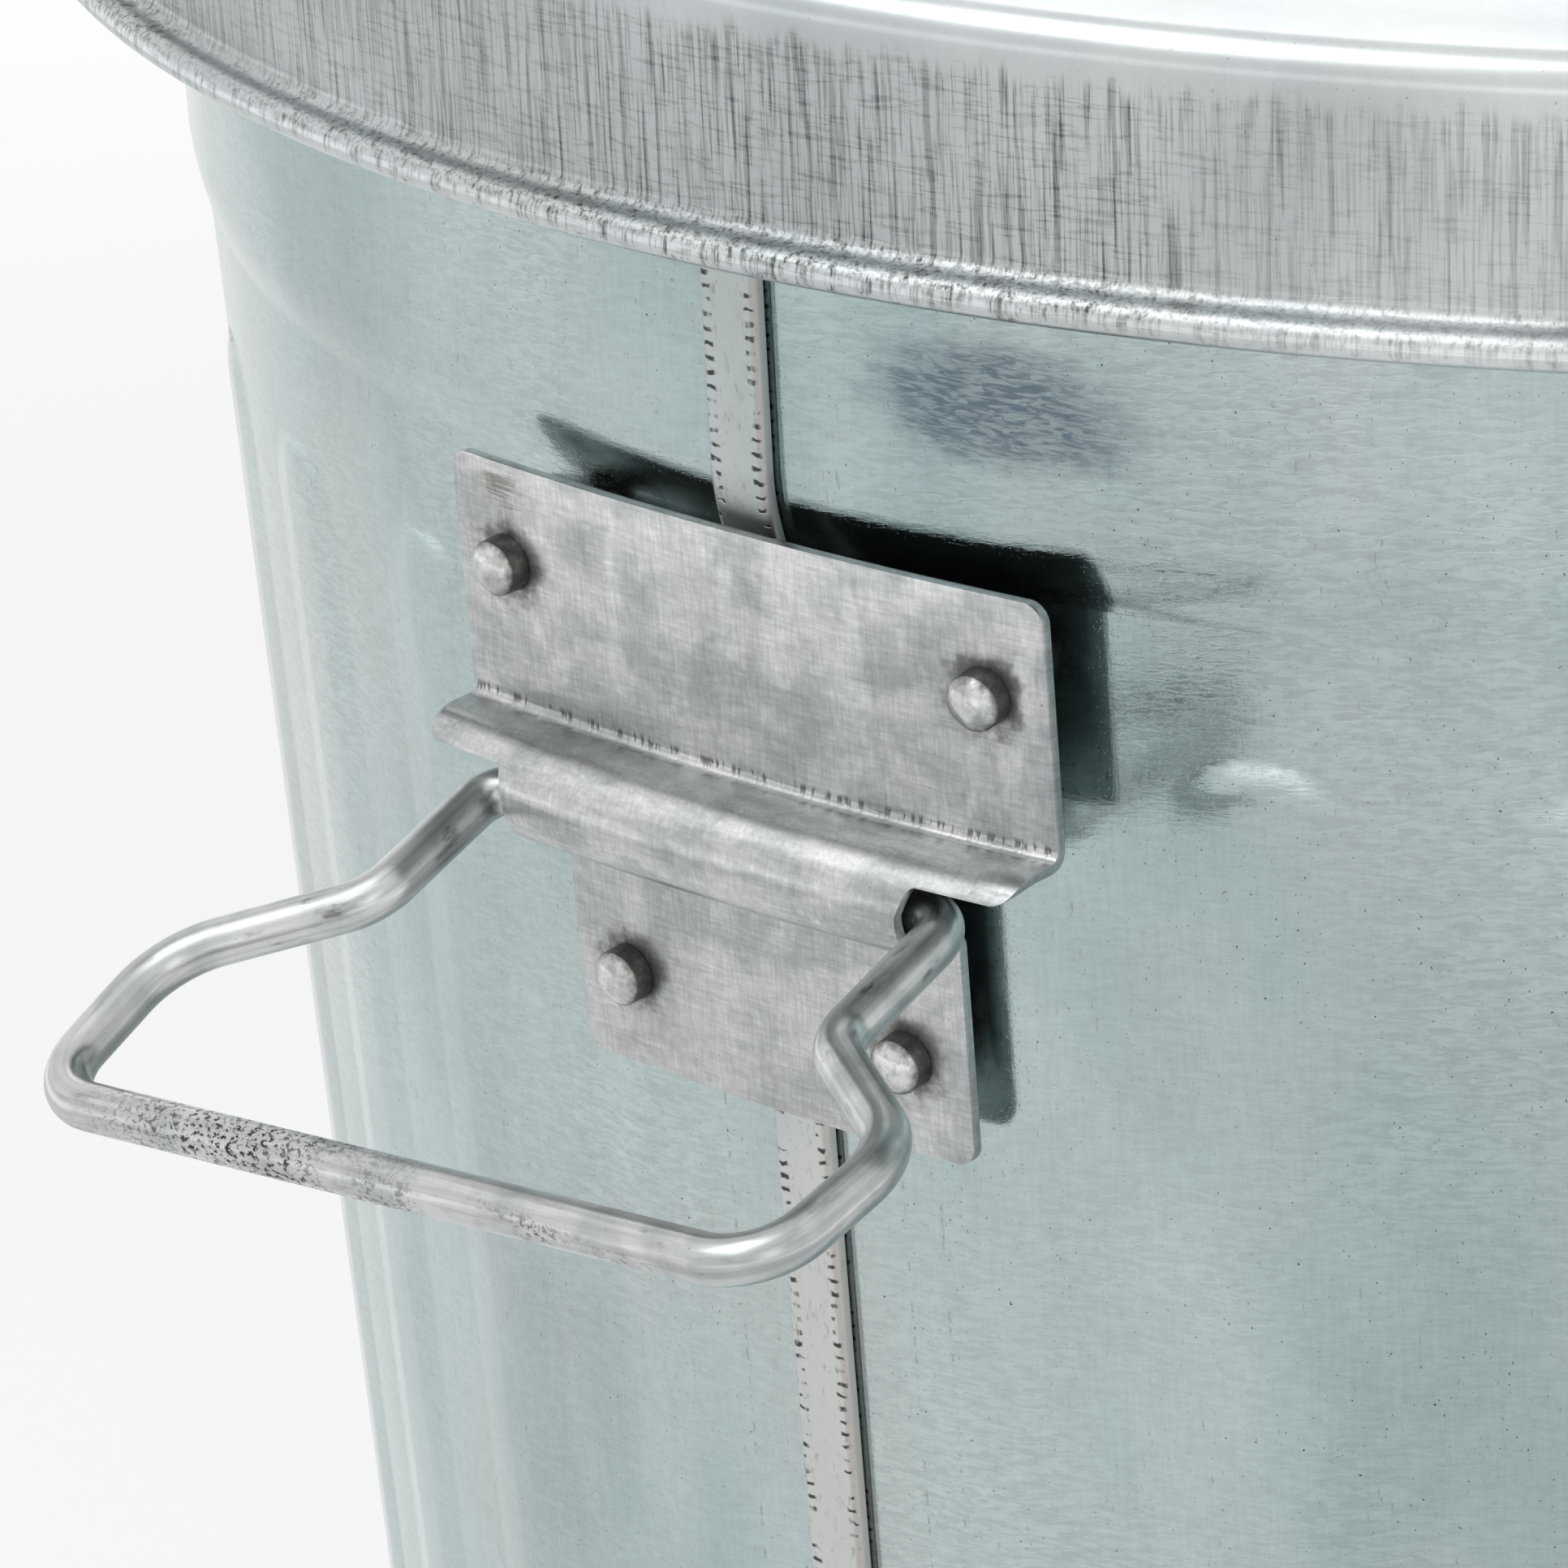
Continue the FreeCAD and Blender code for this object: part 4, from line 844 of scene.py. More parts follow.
@dataclass
class Wall:
    """The two half sheets with their seams, ribs and rolled rim."""

    form: WallForm = field(default_factory=WallForm)
    columns_per_rib: int = 14
    dent: float = 0.10

    def build(self, finishes: Finishes) -> None:
        """Build both half sheets and both seams."""
        rear = self.half_sheet("wall_rear")
        RibField(self.form).press(rear, finishes.wall)
        self.ripple(rear)
        outwards(rear)
        front = half_turned(rear, "wall_front")
        left = self.hooks("seam_left")
        right = half_turned(left, "seam_right")
        for piece, node in ((rear, "body_sheet_rear"), (front, "body_sheet_front")):
            soften(piece, 30.0)
            dress(piece, finishes.wall, "wall_sheet", "can", node)
        for piece in (left, right):
            soften(piece, 40.0)
            dress(piece, finishes.seam, "wall_sheet", "can")

    def middle_line(self) -> list[Point]:
        """Middle line of the sheet from its foot up the wall and round the rim's roll."""
        form = self.form
        half = form.thickness / 2
        levels = self.levels()
        line = [(form.radius(z) - half, z) for z in levels]
        middle = form.roll - half
        wall = line[-1][0]
        centre = (wall + middle, form.rim_top - form.roll)
        stop = math.asin(min(1.0, (middle - form.roll_gap) / middle)) + math.pi * 1.5
        count = 34
        for k in range(1, count + 1):
            angle = math.pi - stop * k / count
            line.append((centre[0] + middle * math.cos(angle), centre[1] + middle * math.sin(angle)))
        return line

    def levels(self) -> list[float]:
        """Heights of the wall's rows, closer where it bends or its ribs end."""
        form = self.form
        marks = [form.foot, form.rib_foot - 2, form.rib_foot + form.rib_arch, form.rib_top - form.rib_arch]
        marks += [form.rib_top + 1, form.shoulder_foot, form.band_foot, form.rim_top - form.roll]
        steps = (6, 15, 32, 15, 5, 7, 10)
        out: list[float] = []
        for low, high, count in zip(marks, marks[1:], steps):
            out += [low + (high - low) * k / count for k in range(count)]
        crease = 0.35
        out += [form.shoulder_foot - crease, form.band_foot - crease, form.band_foot + crease]
        return sorted(out + [marks[-1]])

    def angles(self) -> list[float]:
        """Angles of the wall's columns, with a column on every crease of every rib."""
        form = self.form
        half = form.pitch * form.rib_share / 2
        shares = (-1.0, -0.97, -0.84, -0.67, -0.5, -0.37, -0.31, 0.0, 0.31, 0.37, 0.5, 0.67, 0.84, 0.97, 1.0)
        out = [1.9, 2.75]
        for k in range(form.rib_count):
            middle = form.seam_plain + half + k * form.pitch
            out += [middle + half * s for s in shares]
            if k < form.rib_count - 1:
                gap = form.pitch - 2 * half
                out += [middle + half + gap * s for s in (0.06, 0.35, 0.65, 0.94)]
        return out + [180 - 2.75, 180 - 1.9]

    def half_sheet(self, name: str) -> bpy.types.Object:
        """The plain half wall, both of its surfaces, without ribs."""
        form = self.form
        outline = thickened(self.middle_line(), form.thickness)
        lap = -(form.seam_half - form.joggle - form.hook_play)
        flats = [lap, 0.0, form.seam_half * 0.6, form.seam_half]
        angles = [math.radians(a) for a in self.angles()]
        points: list[tuple[float, float, float]] = []
        for radius, z in outline:
            if z > form.seam_top:
                start = -math.asin((form.seam_half - form.joggle / 2) / radius)
                stop = math.pi + start - form.hook_play / radius
                row = [start + (angles[0] - start) * k / 4 for k in range(4)] + angles
                row += [angles[-1] + (stop - angles[-1]) * k / 3 for k in range(1, 4)]
                points += [(radius * math.cos(a), radius * math.sin(a), z) for a in row]
                continue
            end = math.sqrt(radius**2 - form.seam_half**2)
            points += [(end, y, z) for y in flats]
            points += [(radius * math.cos(a), radius * math.sin(a), z) for a in angles]
            last = math.pi - math.asin(form.seam_half / radius)
            points += [
                (radius * math.cos(a), radius * math.sin(a), z)
                for a in (angles[-1] + (last - angles[-1]) * k / 3 for k in range(1, 4))
            ]
        columns = len(angles) + 7
        rows = len(outline)
        faces = grid_faces(rows, columns, True, False)
        for column in (0, columns - 1):
            for i in range(rows // 2):
                j = rows - 1 - i
                if i + 1 < j:
                    faces.append(tuple(k * columns + column for k in (i, i + 1, j - 1, j)))
        return new_piece(name, points, faces)

    def ripple(self, piece: bpy.types.Object) -> None:
        """Let the thin sheet wander in and out a little, as pressed sheet does."""
        for vertex in piece.data.vertices:
            x, y, z = (c / MM for c in vertex.co)
            radius = math.hypot(x, y)
            if z > self.form.band_foot + 40 or abs(y) < 9.0:
                continue
            sway = noise.noise(Vector((x / 60, y / 60, z / 110))) + 0.4 * noise.noise(Vector((x / 22, y / 22, z / 30)))
            grow = 1 + self.dent * sway / radius
            vertex.co = Vector((x * grow * MM, y * grow * MM, z * MM))

    def hooks(self, name: str) -> bpy.types.Object:
        """The folded layers of the lock seam on -X: the rear sheet's cover and the front sheet's hook."""
        form = self.form
        step = form.thickness + form.layer_gap
        tops = [k * step + form.thickness for k in range(4)]
        climb = -form.seam_half + form.joggle
        lift = form.seam_half
        half = form.thickness / 2
        cover = [
            (-lift, half), (climb, tops[3] - half), (lift - half, tops[3] - half),
            (lift - half, step + half), (climb + 1.2, step + half),
        ]
        hook = [(climb + 0.6, half), (climb + 0.6, tops[2] - half), (lift - 0.9, tops[2] - half)]
        shapes = (
            thickened(rounded(cover, (0, 1.1, 0.85, 0.85, 0), 20), form.thickness),
            thickened(rounded(hook, (0, 0.4, 0), 30), form.thickness),
        )
        parts = [self.swept(shape) for shape in shapes]
        return joined(name, parts)

    def swept(self, shape: Sequence[Point]) -> bpy.types.Object:
        """Carry a section (across, out from the inner surface) up the seam on -X."""
        form = self.form
        levels = [form.seam_foot] + [z for z in self.levels() if form.seam_foot < z < form.seam_top - 3]
        levels.append(form.seam_top - 1.4)
        points = []
        for z in levels:
            inner = math.sqrt((form.radius(z) - form.thickness) ** 2 - form.seam_half**2)
            points += [(-(inner + out), -across, z) for across, out in shape]
        count = len(shape)
        faces = grid_faces(len(levels), count, False, True)
        faces.append(tuple(range(count)))
        faces.append(tuple(range(len(points) - count, len(points))))
        return outwards(new_piece("section", points, faces))


@dataclass
class BottomPan:
    """The pan set up inside the wall's foot, with the double seam that the can stands on."""

    wall: WallForm = field(default_factory=WallForm)
    thickness: float = 0.8
    lift: float = 18.4
    ring_in: float = 112.0
    ring_out: float = 146.0
    ring_rise: float = 5.0
    slope: float = 7.0
    corner: float = 4.0
    seat: float = 0.15
    chime: float = 8.5
    chime_bend: float = 0.5

    def build(self, finishes: Finishes) -> None:
        """Build the pan."""
        half = self.thickness / 2
        inner = self.wall.thickness + self.seat + half
        outer = self.seat + half
        wall = self.wall.radius
        points = [
            (0.0, self.lift), (self.ring_in, self.lift), (self.ring_in + self.slope, self.lift + self.ring_rise),
            (self.ring_out - self.slope, self.lift + self.ring_rise), (self.ring_out, self.lift),
            (wall(self.lift) - inner, self.lift), (wall(0) - inner, half), (wall(0) + outer, half),
            (wall(self.chime) + outer, self.chime),
        ]
        bends = (0, *[self.corner] * 5, self.chime_bend, self.chime_bend, 0)
        line = divided(rounded(points, bends), 14.0)
        piece = turned("bottom_pan_piece", thickened(line, self.thickness), 300)
        soften(piece)
        dress(piece, finishes.wall, "pan_sheet", "can", "bottom_pan")


# ---------------------------------------------------------------- the lid


@dataclass
class Lid:
    """The lid's pressing, its strap handle and its two rivets."""

    wall: WallForm = field(default_factory=WallForm)
    thickness: float = 0.7
    top: float = 624.6
    skirt: float = 264.1
    skirt_depth: float = 37.4
    skirt_in: float = 1.1
    shoulder: float = 4.5
    roll: float = 2.45
    roll_fillet: float = 2.6
    roll_out: float = 2.95
    land: float = 42.0
    step: float = 9.0
    step_run: float = 16.0
    crown: float = 21.0
    crown_flat: float = 96.0
    bend: float = 6.0
    rivet_reach: float = 72.0
    strap_thickness: float = 1.6

    @property
    def crown_top(self) -> float:
        """Height of the lid's flat middle."""
        return self.top + self.step + self.crown

    def build(self, finishes: Finishes) -> None:
        """Build the shell, dress the strap and set its rivets."""
        shell = turned("lid_pressing", thickened(self.middle_line(), self.thickness), 360)
        outwards(shell)
        soften(shell)
        dress(shell, finishes.lid, "lid_sheet", "lid", "lid_shell")
        strap = eased_copy("lid_handle", "lid_strap", 0.35)
        dress(strap, finishes.strap, "strap", "lid", "lid_handle")
        seats = [
            RivetSeat((x, 0.0, self.crown_top + self.strap_thickness), (0.0, 0.0, 1.0)) for x in
            (-self.rivet_reach, self.rivet_reach)
        ]
        rivets = Rivets(head=4.6, wall=0.2, dome=2.2, depth=2.35, tail=3.7, tail_height=1.6)
        rivets.build("lid_rivet_heads", seats, finishes.rivet, "lid", "lid_handle_rivets")

    def middle_line(self) -> list[Point]:
        """Middle line of the lid's sheet, from its middle to the cut edge inside its roll."""
        half = self.thickness / 2
        top = self.top - half
        skirt = self.skirt - half
        low = skirt - self.skirt_in
        roll = self.roll - half
        roll_x = low + self.roll_out
        roll_z = self.top - self.skirt_depth
        step_x = self.skirt - self.land
        points = [
            (0.0, top + self.step + self.crown), (self.crown_flat, top + self.step + self.crown),
            (step_x - self.step_run, top + self.step), (step_x, top), (skirt, top), (low, roll_z + roll),
            (roll_x + roll, roll_z + roll), (roll_x + roll, roll_z - roll), (roll_x - roll, roll_z - roll),
            (roll_x - roll, roll_z + self.wall.thickness),
        ]
        bends = (0, self.bend * 4, self.bend, self.bend, self.shoulder, self.roll_fillet, roll, roll, roll, 0)
        return divided(rounded(points, bends, 7.0), 9.0)


def eased_copy(node: str, name: str, ease: float) -> bpy.types.Object:
    """A merged copy of a CAD node's mesh with its edges eased.

    Args:
        node: The CAD node.
        name: Name of the new piece.
        ease: Width of the eased edges in millimetres.

    Returns:
        The new piece.
    """
    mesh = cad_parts[node].data.copy()
    mesh.name = name
    piece = bpy.data.objects.new(name, mesh)
    bpy.context.scene.collection.objects.link(piece)
    merge = piece.modifiers.new("merge", "WELD")
    merge.merge_threshold = 0.00001
    plane = piece.modifiers.new("plane", "DECIMATE")
    plane.decimate_type = "DISSOLVE"
    plane.angle_limit = math.radians(0.4)
    edge = piece.modifiers.new("edge", "BEVEL")
    edge.width = ease * MM
    edge.segments = 2
    edge.limit_method = "ANGLE"
    edge.angle_limit = math.radians(50)
    edge.use_clamp_overlap = True
    evaluated = piece.evaluated_get(bpy.context.evaluated_depsgraph_get())
    eased = bpy.data.meshes.new_from_object(evaluated)
    piece.modifiers.clear()
    piece.data = eased
    soften(piece, 46.0)
    return piece


# ---------------------------------------------------------------- rivets


@dataclass(frozen=True)
class RivetSeat:
    """Where a rivet sits: a point under its head, in millimetres, and the way its head faces."""

    point: tuple[float, float, float]
    facing: tuple[float, float, float]


@dataclass
class Rivets:
    """One form of rivet, set at several seats by Geometry Nodes."""

    head: float = 4.1
    wall: float = 3.1
    dome: float = 1.6
    depth: float = 8.0
    shank: float = 2.4
    collar: float = 0.0
    collar_depth: float = 0.0
    collar_top: float = 1.65
    tail: float = 3.7
    tail_height: float = 1.6
    flat: float = 0.6

    def outline(self) -> list[Point]:
        """Half section of the rivet; 0 is the surface under its head."""
        seat = 0.05
        low = -self.depth
        body = [(0.0, low - self.tail_height), (self.tail * 0.7, low - self.tail_height), (self.tail, low)]
        body.append((self.shank, low))
        if self.collar:
            body += [(self.shank, -self.collar_depth), (self.collar, -self.collar_depth)]
            body += [(self.collar, -self.collar_top), (self.shank, -self.collar_top)]
        body += [(self.shank, seat), (self.head, seat), (self.head, seat + self.wall * 0.5)]
        edge = self.head * 0.97
        body.append((edge + 0.06, self.wall - 0.25))
        crown = self.wall + self.dome
        for k in range(8):
            reach = edge * (1 - k / 8)
            body.append((reach, crown - self.dome * (reach / edge) ** 2.4))
        body.append((0.0, crown))
        return body

    def model(self) -> bpy.types.Object:
        """One rivet at the origin, a little lopsided, with its head's reach stored for the finish."""
        piece = turned("rivet model", self.outline(), 40)
        reach = piece.data.attributes.new("head_reach", "FLOAT", "POINT")
        for vertex, value in zip(piece.data.vertices, reach.data):
            x, y, z = (c / MM for c in vertex.co)
            above = z > self.wall
            value.value = math.hypot(x, y) / self.head if above else 1.0
            if z > 0.4:
                sway = noise.noise(Vector((x * 0.35, y * 0.35, z * 0.4)))
                vertex.co *= 1.0 - 0.018 * abs(sway)
                vertex.co.z -= 0.22 * abs(noise.noise(Vector((x * 0.3 + 7, y * 0.3, 0.0)))) * MM
        soften(piece, 35.0)
        return piece

    def tree(self) -> bpy.types.NodeTree:
        """Node tree that stands a model on each point, along the point's facing."""
        tree = bpy.data.node_groups.new("set rivets", "GeometryNodeTree")
        tree.interface.new_socket("Geometry", in_out="INPUT", socket_type="NodeSocketGeometry")
        tree.interface.new_socket("Rivet", in_out="INPUT", socket_type="NodeSocketObject")
        tree.interface.new_socket("Finish", in_out="INPUT", socket_type="NodeSocketMaterial")
        tree.interface.new_socket("Geometry", in_out="OUTPUT", socket_type="NodeSocketGeometry")
        sheet = NodeSheet(tree)
        given = sheet.add("NodeGroupInput").outputs
        model = sheet.add("GeometryNodeObjectInfo")
        sheet.feed(model.inputs["Object"], given["Rivet"])
        facing = sheet.add("GeometryNodeInputNamedAttribute", data_type="FLOAT_VECTOR")
        facing.inputs["Name"].default_value = "facing"
        turn = sheet.add("FunctionNodeAlignRotationToVector", axis="Z")
        sheet.feed(turn.inputs["Vector"], facing.outputs[0])
        place = sheet.add("GeometryNodeInstanceOnPoints")
        sheet.feed(place.inputs["Points"], given["Geometry"])
        sheet.feed(place.inputs["Instance"], model.outputs["Geometry"])
        sheet.feed(place.inputs["Rotation"], turn.outputs[0])
        finish_geometry(sheet, place.outputs[0], given["Finish"])
        return tree

    def build(
        self, name: str, seats: Sequence[RivetSeat], finish: bpy.types.Material, body: str, node: str
    ) -> None:
        """Set rivets at all the seats as one piece that stands for a CAD node."""
        piece = new_piece(name, [s.point for s in seats], [])
        facing = piece.data.attributes.new("facing", "FLOAT_VECTOR", "POINT")
        for value, seat in zip(facing.data, seats):
            value.vector = seat.facing
        model = self.model()
        run_tree(piece, self.tree(), {"Rivet": model, "Finish": finish})
        bpy.data.objects.remove(model)
        dress(piece, finish, "rivet", body, node)


# ---------------------------------------------------------------- ear plates and bails


@dataclass
class EarPlate:
    """An ear plate with its four rivets."""

    side: Side
    bend: float = 450.0
    standoff: float = 5.5
    thickness: float = 1.6
    wall: WallForm = field(default_factory=WallForm)

    def build(self, finishes: Finishes) -> None:
        """Dress the plate and set its rivets."""
        node = f"ear_plate_{self.side.value}"
        plate = eased_copy(node, f"ear_{self.side.value}", 0.3)
        dress(plate, finishes.ear, "ear_plate", "can", node)
        rivets = Rivets(depth=8.1, collar=3.6, collar_depth=6.2)
        seats = [self.seat(y, z) for y, z in RIVET_PLACES]
        rivets.build(
            f"ear_rivet_heads_{self.side.value}", seats, finishes.rivet, "can", f"ear_rivets_{self.side.value}"
        )

    def seat(self, y: float, z: float) -> RivetSeat:
        """Seat of a rivet on this plate's outer surface."""
        turn = math.asin(y / self.bend)
        lean = math.atan(self.wall.taper)
        lower = self.wall.band_radius - self.wall.shoulder_step - self.wall.taper * (self.wall.shoulder_foot - z)
        out = lower + self.standoff + self.thickness - self.bend * (1 - math.cos(turn))
        facing = (-math.cos(turn) * math.cos(lean), math.sin(turn) * math.cos(lean), -math.sin(lean))
        flip = 1 if self.side is Side.LEFT else -1
        return RivetSeat((-out * flip, y * flip, z), (facing[0] * flip, facing[1] * flip, facing[2]))


@dataclass
class Bail:
    """A wire bail, swept along its bent line by Geometry Nodes."""

    side: Side
    angle: float
    wire: float = 3.396
    pivot: float = 251.733
    pivot_z: float = 495.8
    twist: float = -5.7
    line: tuple[tuple[float, float, float], ...] = (
        (14.0, 0.0, 0.0), (40.7, 0.0, 5.5), (40.7, 27.2, 8.5), (66.4, 44.4, 15.0), (66.4, 72.4, 9.5),
    )

    def build(self, finishes: Finishes) -> None:
        """Sweep the wire and dress it."""
        name = f"bail_{self.side.value}"
        curve = bpy.data.curves.new(f"{name}_wire", "CURVE")
        curve.dimensions = "3D"
        corners = list(self.line) + [(-y, reach, bend) for y, reach, bend in self.line[::-1]]
        spline = curve.splines.new("POLY")
        spline.points.add(len(corners) - 1)
        for point, (y, reach, bend) in zip(spline.points, corners):
            twist = 0.0 if abs(y) <= self.line[1][0] else self.twist * y / self.line[3][0]
            swing = math.radians(self.angle + twist)
            flip = 1 if self.side is Side.LEFT else -1
            x = -(self.pivot + reach * math.sin(swing)) * flip
            point.co = (x * MM, y * flip * MM, (self.pivot_z - reach * math.cos(swing)) * MM, 1.0)
            point.radius = max(bend, 0.001) * MM
        piece = bpy.data.objects.new(f"{name}_wire", curve)
        bpy.context.scene.collection.objects.link(piece)
        wire = self.swept(piece, finishes.wire)
        soften(wire, 50.0)
        dress(wire, finishes.wire, "bail_wire", name, name)

    def swept(self, carrier: bpy.types.Object, finish: bpy.types.Material) -> bpy.types.Object:
        """The wire as a plain mesh, made from the carrier curve."""
        modifier = carrier.modifiers.new("sweep", "NODES")
        tree = self.tree()
        modifier.node_group = tree
        values = {"Wire radius": self.wire * MM, "Finish": finish}
        for item in tree.interface.items_tree:
            if item.item_type == "SOCKET" and item.in_out == "INPUT" and item.name in values:
                modifier[item.identifier] = values[item.name]
        evaluated = carrier.evaluated_get(bpy.context.evaluated_depsgraph_get())
        mesh = bpy.data.meshes.new_from_object(evaluated)
        name = carrier.name
        bpy.data.objects.remove(carrier)
        mesh.name = name
        piece = bpy.data.objects.new(name, mesh)
        bpy.context.scene.collection.objects.link(piece)
        return outwards(piece)

    def tree(self) -> bpy.types.NodeTree:
        """Node tree that rounds the corners, sweeps the wire and stores where each point lies on it."""
        tree = bpy.data.node_groups.new("bent wire", "GeometryNodeTree")
        tree.interface.new_socket("Geometry", in_out="INPUT", socket_type="NodeSocketGeometry")
        tree.interface.new_socket("Wire radius", in_out="INPUT", socket_type="NodeSocketFloat")
        tree.interface.new_socket("Finish", in_out="INPUT", socket_type="NodeSocketMaterial")
        tree.interface.new_socket("Geometry", in_out="OUTPUT", socket_type="NodeSocketGeometry")
        sheet = NodeSheet(tree)
        given = sheet.add("NodeGroupInput").outputs
        fillet = sheet.add("GeometryNodeFilletCurve", mode="POLY")
        sheet.feed(fillet.inputs["Curve"], given["Geometry"])
        fillet.inputs["Count"].default_value = 14
        sheet.feed(fillet.inputs["Radius"], sheet.add("GeometryNodeInputRadius").outputs[0])
        even = sheet.add("GeometryNodeSetCurveRadius")
        sheet.feed(even.inputs["Curve"], fillet.outputs[0])
        even.inputs["Radius"].default_value = 1.0
        along = sheet.add("GeometryNodeCaptureAttribute", domain="POINT")
        along.capture_items.new("FLOAT", "along")
        sheet.feed(along.inputs["Geometry"], even.outputs[0])
        sheet.feed(along.inputs["along"], sheet.add("GeometryNodeSplineParameter").outputs["Length"])
        circle = sheet.add("GeometryNodeCurvePrimitiveCircle", mode="RADIUS")
        circle.inputs["Resolution"].default_value = 36
        sheet.feed(circle.inputs["Radius"], given["Wire radius"])
        around = sheet.add("GeometryNodeCaptureAttribute", domain="POINT")
        around.capture_items.new("VECTOR", "around")
        sheet.feed(around.inputs["Geometry"], circle.outputs[0])
        sheet.feed(around.inputs["around"], sheet.add("GeometryNodeInputPosition").outputs[0])
        sweep = sheet.add("GeometryNodeCurveToMesh")
        sheet.feed(sweep.inputs["Curve"], along.outputs["Geometry"])
        sheet.feed(sweep.inputs["Profile Curve"], around.outputs["Geometry"])
        sweep.inputs["Fill Caps"].default_value = True
        side_x, side_y, _ = sheet.split(around.outputs["around"])
        store = sheet.add("GeometryNodeStoreNamedAttribute", data_type="FLOAT_VECTOR", domain="POINT")
        sheet.feed(store.inputs["Geometry"], sweep.outputs[0])
        store.inputs["Name"].default_value = "wire_place"
        sheet.feed(store.inputs["Value"], sheet.compose(side_x, side_y, along.outputs["along"]))
        finish_geometry(sheet, store.outputs[0], given["Finish"])
        return tree


# ---------------------------------------------------------------- studio


@dataclass(frozen=True)
class Shot:
    """The camera: its place in millimetres, where it looks, in degrees, and its lens."""

    place: tuple[float, float, float] = (-1021.58, -679.69, 920.07)
    yaw: float = 40.96
    pitch: float = 22.0
    roll: float = -1.57
    lens: float = 189.125

    def build(self) -> None:
        """Set up the camera."""
        camera = bpy.data.cameras.new("camera")
        camera.lens = self.lens
        camera.sensor_width = 36.0
        camera.clip_start = 0.02
        camera.clip_end = 60.0
        holder = bpy.data.objects.new("camera", camera)
        bpy.context.scene.collection.objects.link(holder)
        yaw, pitch, roll = (math.radians(a) for a in (self.yaw, self.pitch, self.roll))
        look = Vector((math.cos(yaw) * math.cos(pitch), math.sin(yaw) * math.cos(pitch), -math.sin(pitch)))
        level = Vector((math.sin(yaw), -math.cos(yaw), 0.0))
        up = level.cross(look)
        right = level * math.cos(roll) + up * math.sin(roll)
        top = up * math.cos(roll) - level * math.sin(roll)
        turn = Matrix((right, top, -look)).transposed().to_4x4()
        holder.matrix_world = Matrix.Translation(Vector(self.place) * MM) @ turn
        bpy.context.scene.camera = holder


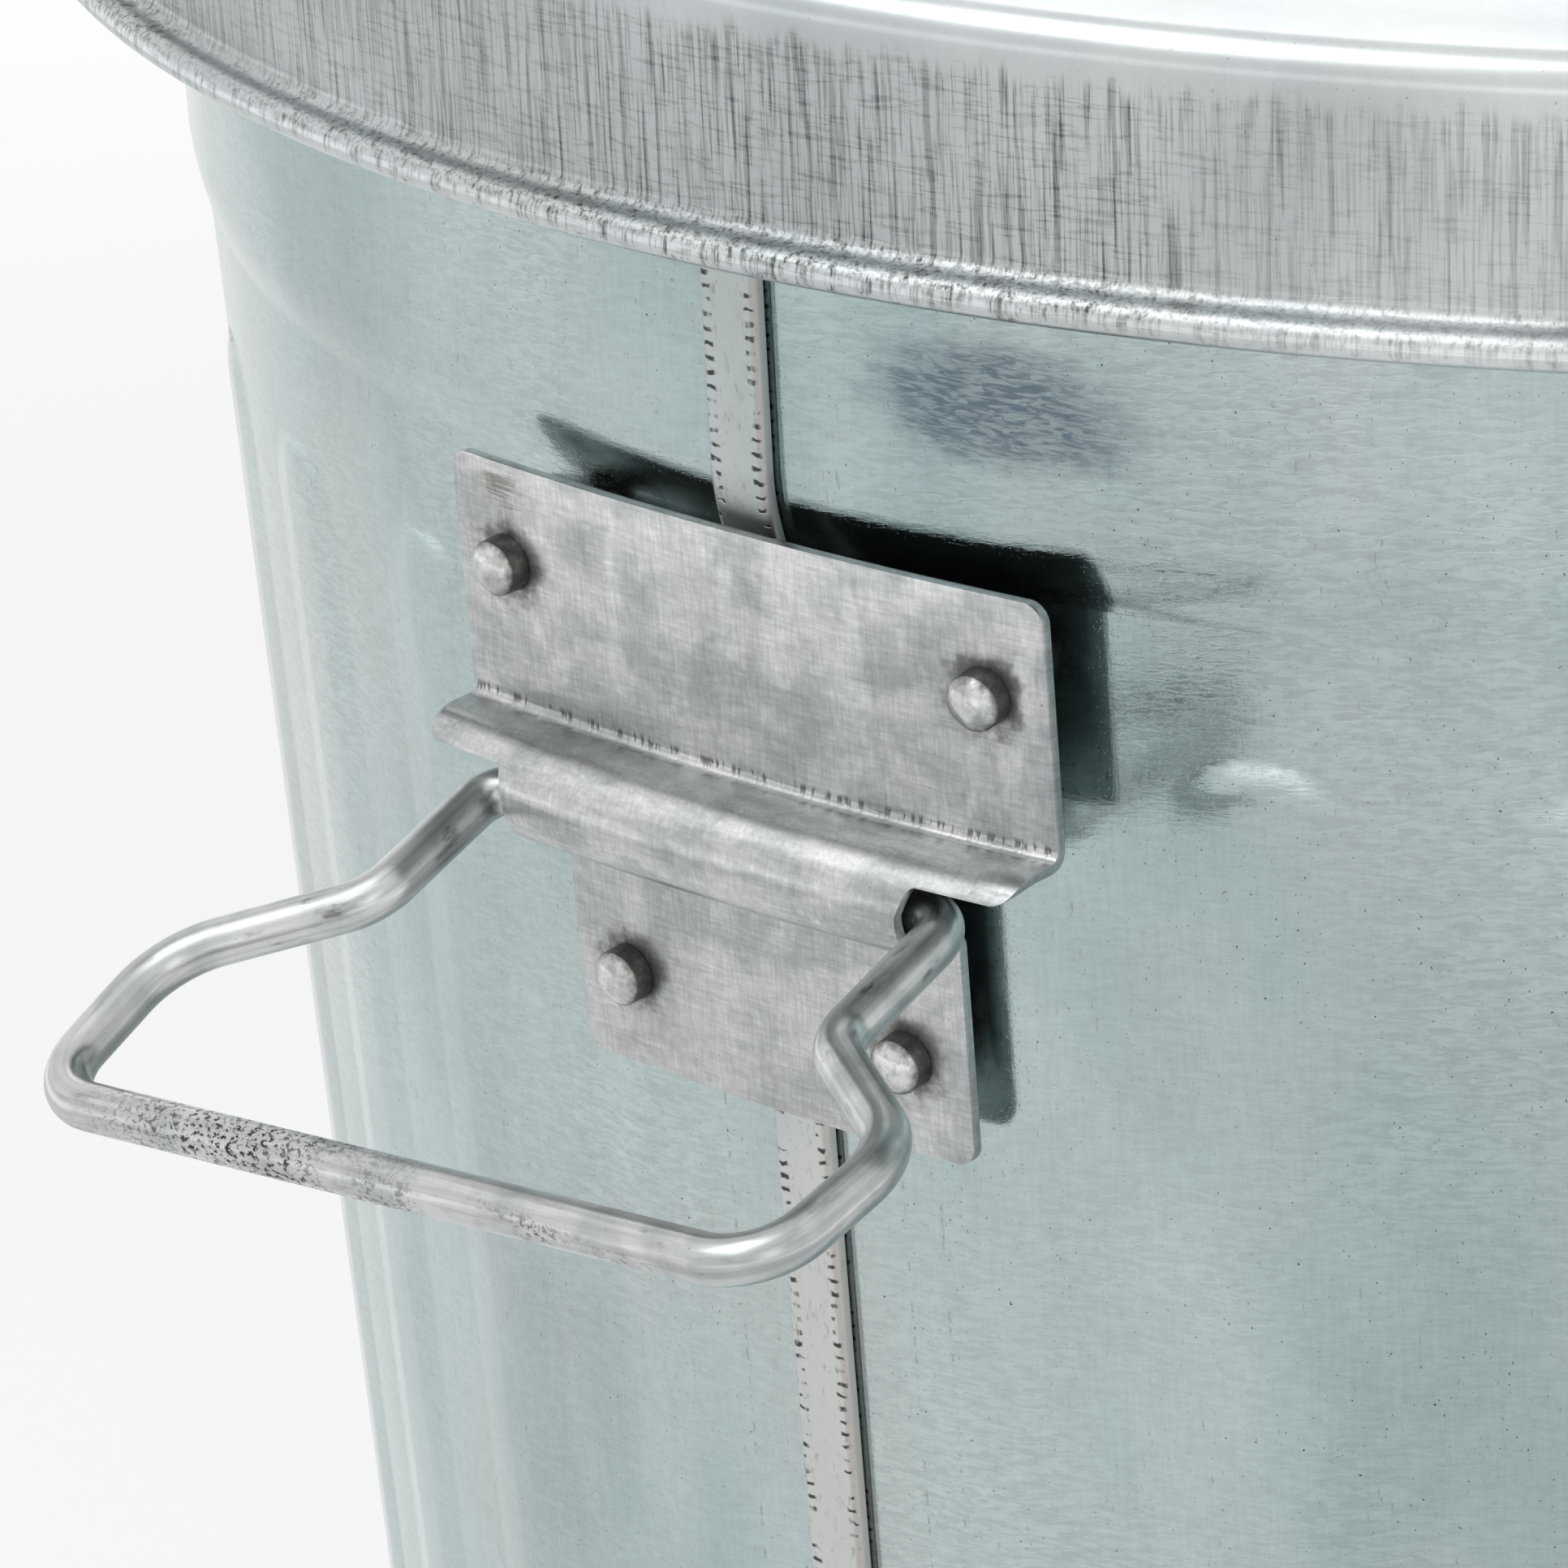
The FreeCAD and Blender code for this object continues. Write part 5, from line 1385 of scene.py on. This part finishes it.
@dataclass
class Studio:
    """A plain pale floor, a plain white world and three soft lights."""

    floor_colour: Colour = (0.86, 0.86, 0.86)
    surround: float = 0.40

    def build(self) -> None:
        """Set up the studio."""
        scene = bpy.context.scene
        scene.view_settings.view_transform = "Standard"
        self.world(scene)
        self.floor()
        self.lamp("key light", (-1.6, 0.6, 3.0), (0.0, 0.0, 0.35), 2.0, 22.0)
        self.lamp("fill light", (-2.6, -2.8, 1.7), (0.0, 0.0, 0.4), 1.6, 8.0)
        self.lamp("back light", (2.2, 2.0, 2.6), (0.0, 0.0, 0.4), 1.8, 9.0)

    def world(self, scene: bpy.types.Scene) -> None:
        """White where it is seen or mirrored, and a plain level of light everywhere else."""
        world = bpy.data.worlds.new("studio")
        scene.world = world
        world.use_nodes = True
        sheet = NodeSheet(world.node_tree)
        ray = sheet.add("ShaderNodeLightPath").outputs
        seen = sheet.sum("MAXIMUM", ray["Is Camera Ray"], ray["Is Glossy Ray"])
        seen = sheet.sum("MAXIMUM", seen, ray["Is Transmission Ray"])
        sky = sheet.add("ShaderNodeBackground")
        sheet.feed(sky.inputs["Strength"], sheet.sum("MULTIPLY_ADD", seen, 1.0 - self.surround, self.surround))
        out = sheet.add("ShaderNodeOutputWorld")
        sheet.feed(out.inputs["Surface"], sky.outputs[0])
        sky.inputs["Color"].default_value = (1.0, 1.0, 1.0, 1.0)

    def floor(self) -> None:
        """A plain pale floor."""
        reach = 30000.0
        corners = [(-reach, -reach, 0.0), (reach, -reach, 0.0), (reach, reach, 0.0), (-reach, reach, 0.0)]
        piece = new_piece("floor", corners, [(0, 1, 2, 3)])
        material = bpy.data.materials.new("floor")
        material.use_nodes = True
        sheet = NodeSheet(material.node_tree)
        ray = sheet.add("ShaderNodeLightPath").outputs
        seen = sheet.sum("MAXIMUM", ray["Is Camera Ray"], ray["Is Glossy Ray"])
        seen = sheet.sum("MAXIMUM", seen, ray["Is Transmission Ray"])
        matt = sheet.add("ShaderNodeBsdfDiffuse")
        matt.inputs["Color"].default_value = (*self.floor_colour, 1.0)
        glow = sheet.add("ShaderNodeEmission")
        reach = sheet.vector("LENGTH", sheet.add("ShaderNodeTexCoord").outputs["Object"])
        lift = sheet.sum("MULTIPLY_ADD", sheet.step(reach, 1.2, 5.0), 0.9, 0.42)
        sheet.feed(glow.inputs["Strength"], sheet.sum("MULTIPLY", seen, lift))
        both = sheet.add("ShaderNodeAddShader")
        sheet.feed(both.inputs[0], matt.outputs[0])
        sheet.feed(both.inputs[1], glow.outputs[0])
        out = sheet.add("ShaderNodeOutputMaterial")
        sheet.feed(out.inputs["Surface"], both.outputs[0])
        piece.data.materials.append(material)

    def lamp(
        self, name: str, place: tuple[float, float, float], aim: tuple[float, float, float], size: float, power: float
    ) -> None:
        """A soft square light, in metres, turned to a point."""
        light = bpy.data.lights.new(name, "AREA")
        light.size = size
        light.energy = power
        holder = bpy.data.objects.new(name, light)
        bpy.context.scene.collection.objects.link(holder)
        holder.location = place
        holder.rotation_euler = (Vector(aim) - Vector(place)).to_track_quat("-Z", "Y").to_euler()


def main() -> None:
    """Build every piece of the can and the studio round it."""
    logging.basicConfig(level=logging.INFO, format="%(name)s: %(message)s")
    random.seed(7)
    finishes = Finishes()
    Wall().build(finishes)
    BottomPan().build(finishes)
    for side in Side:
        EarPlate(side).build(finishes)
    Bail(Side.LEFT, 70.6).build(finishes)
    Bail(Side.RIGHT, 0.0).build(finishes)
    Lid().build(finishes)
    Shot().build()
    Studio().build()


if __name__ == "__main__":
    main()
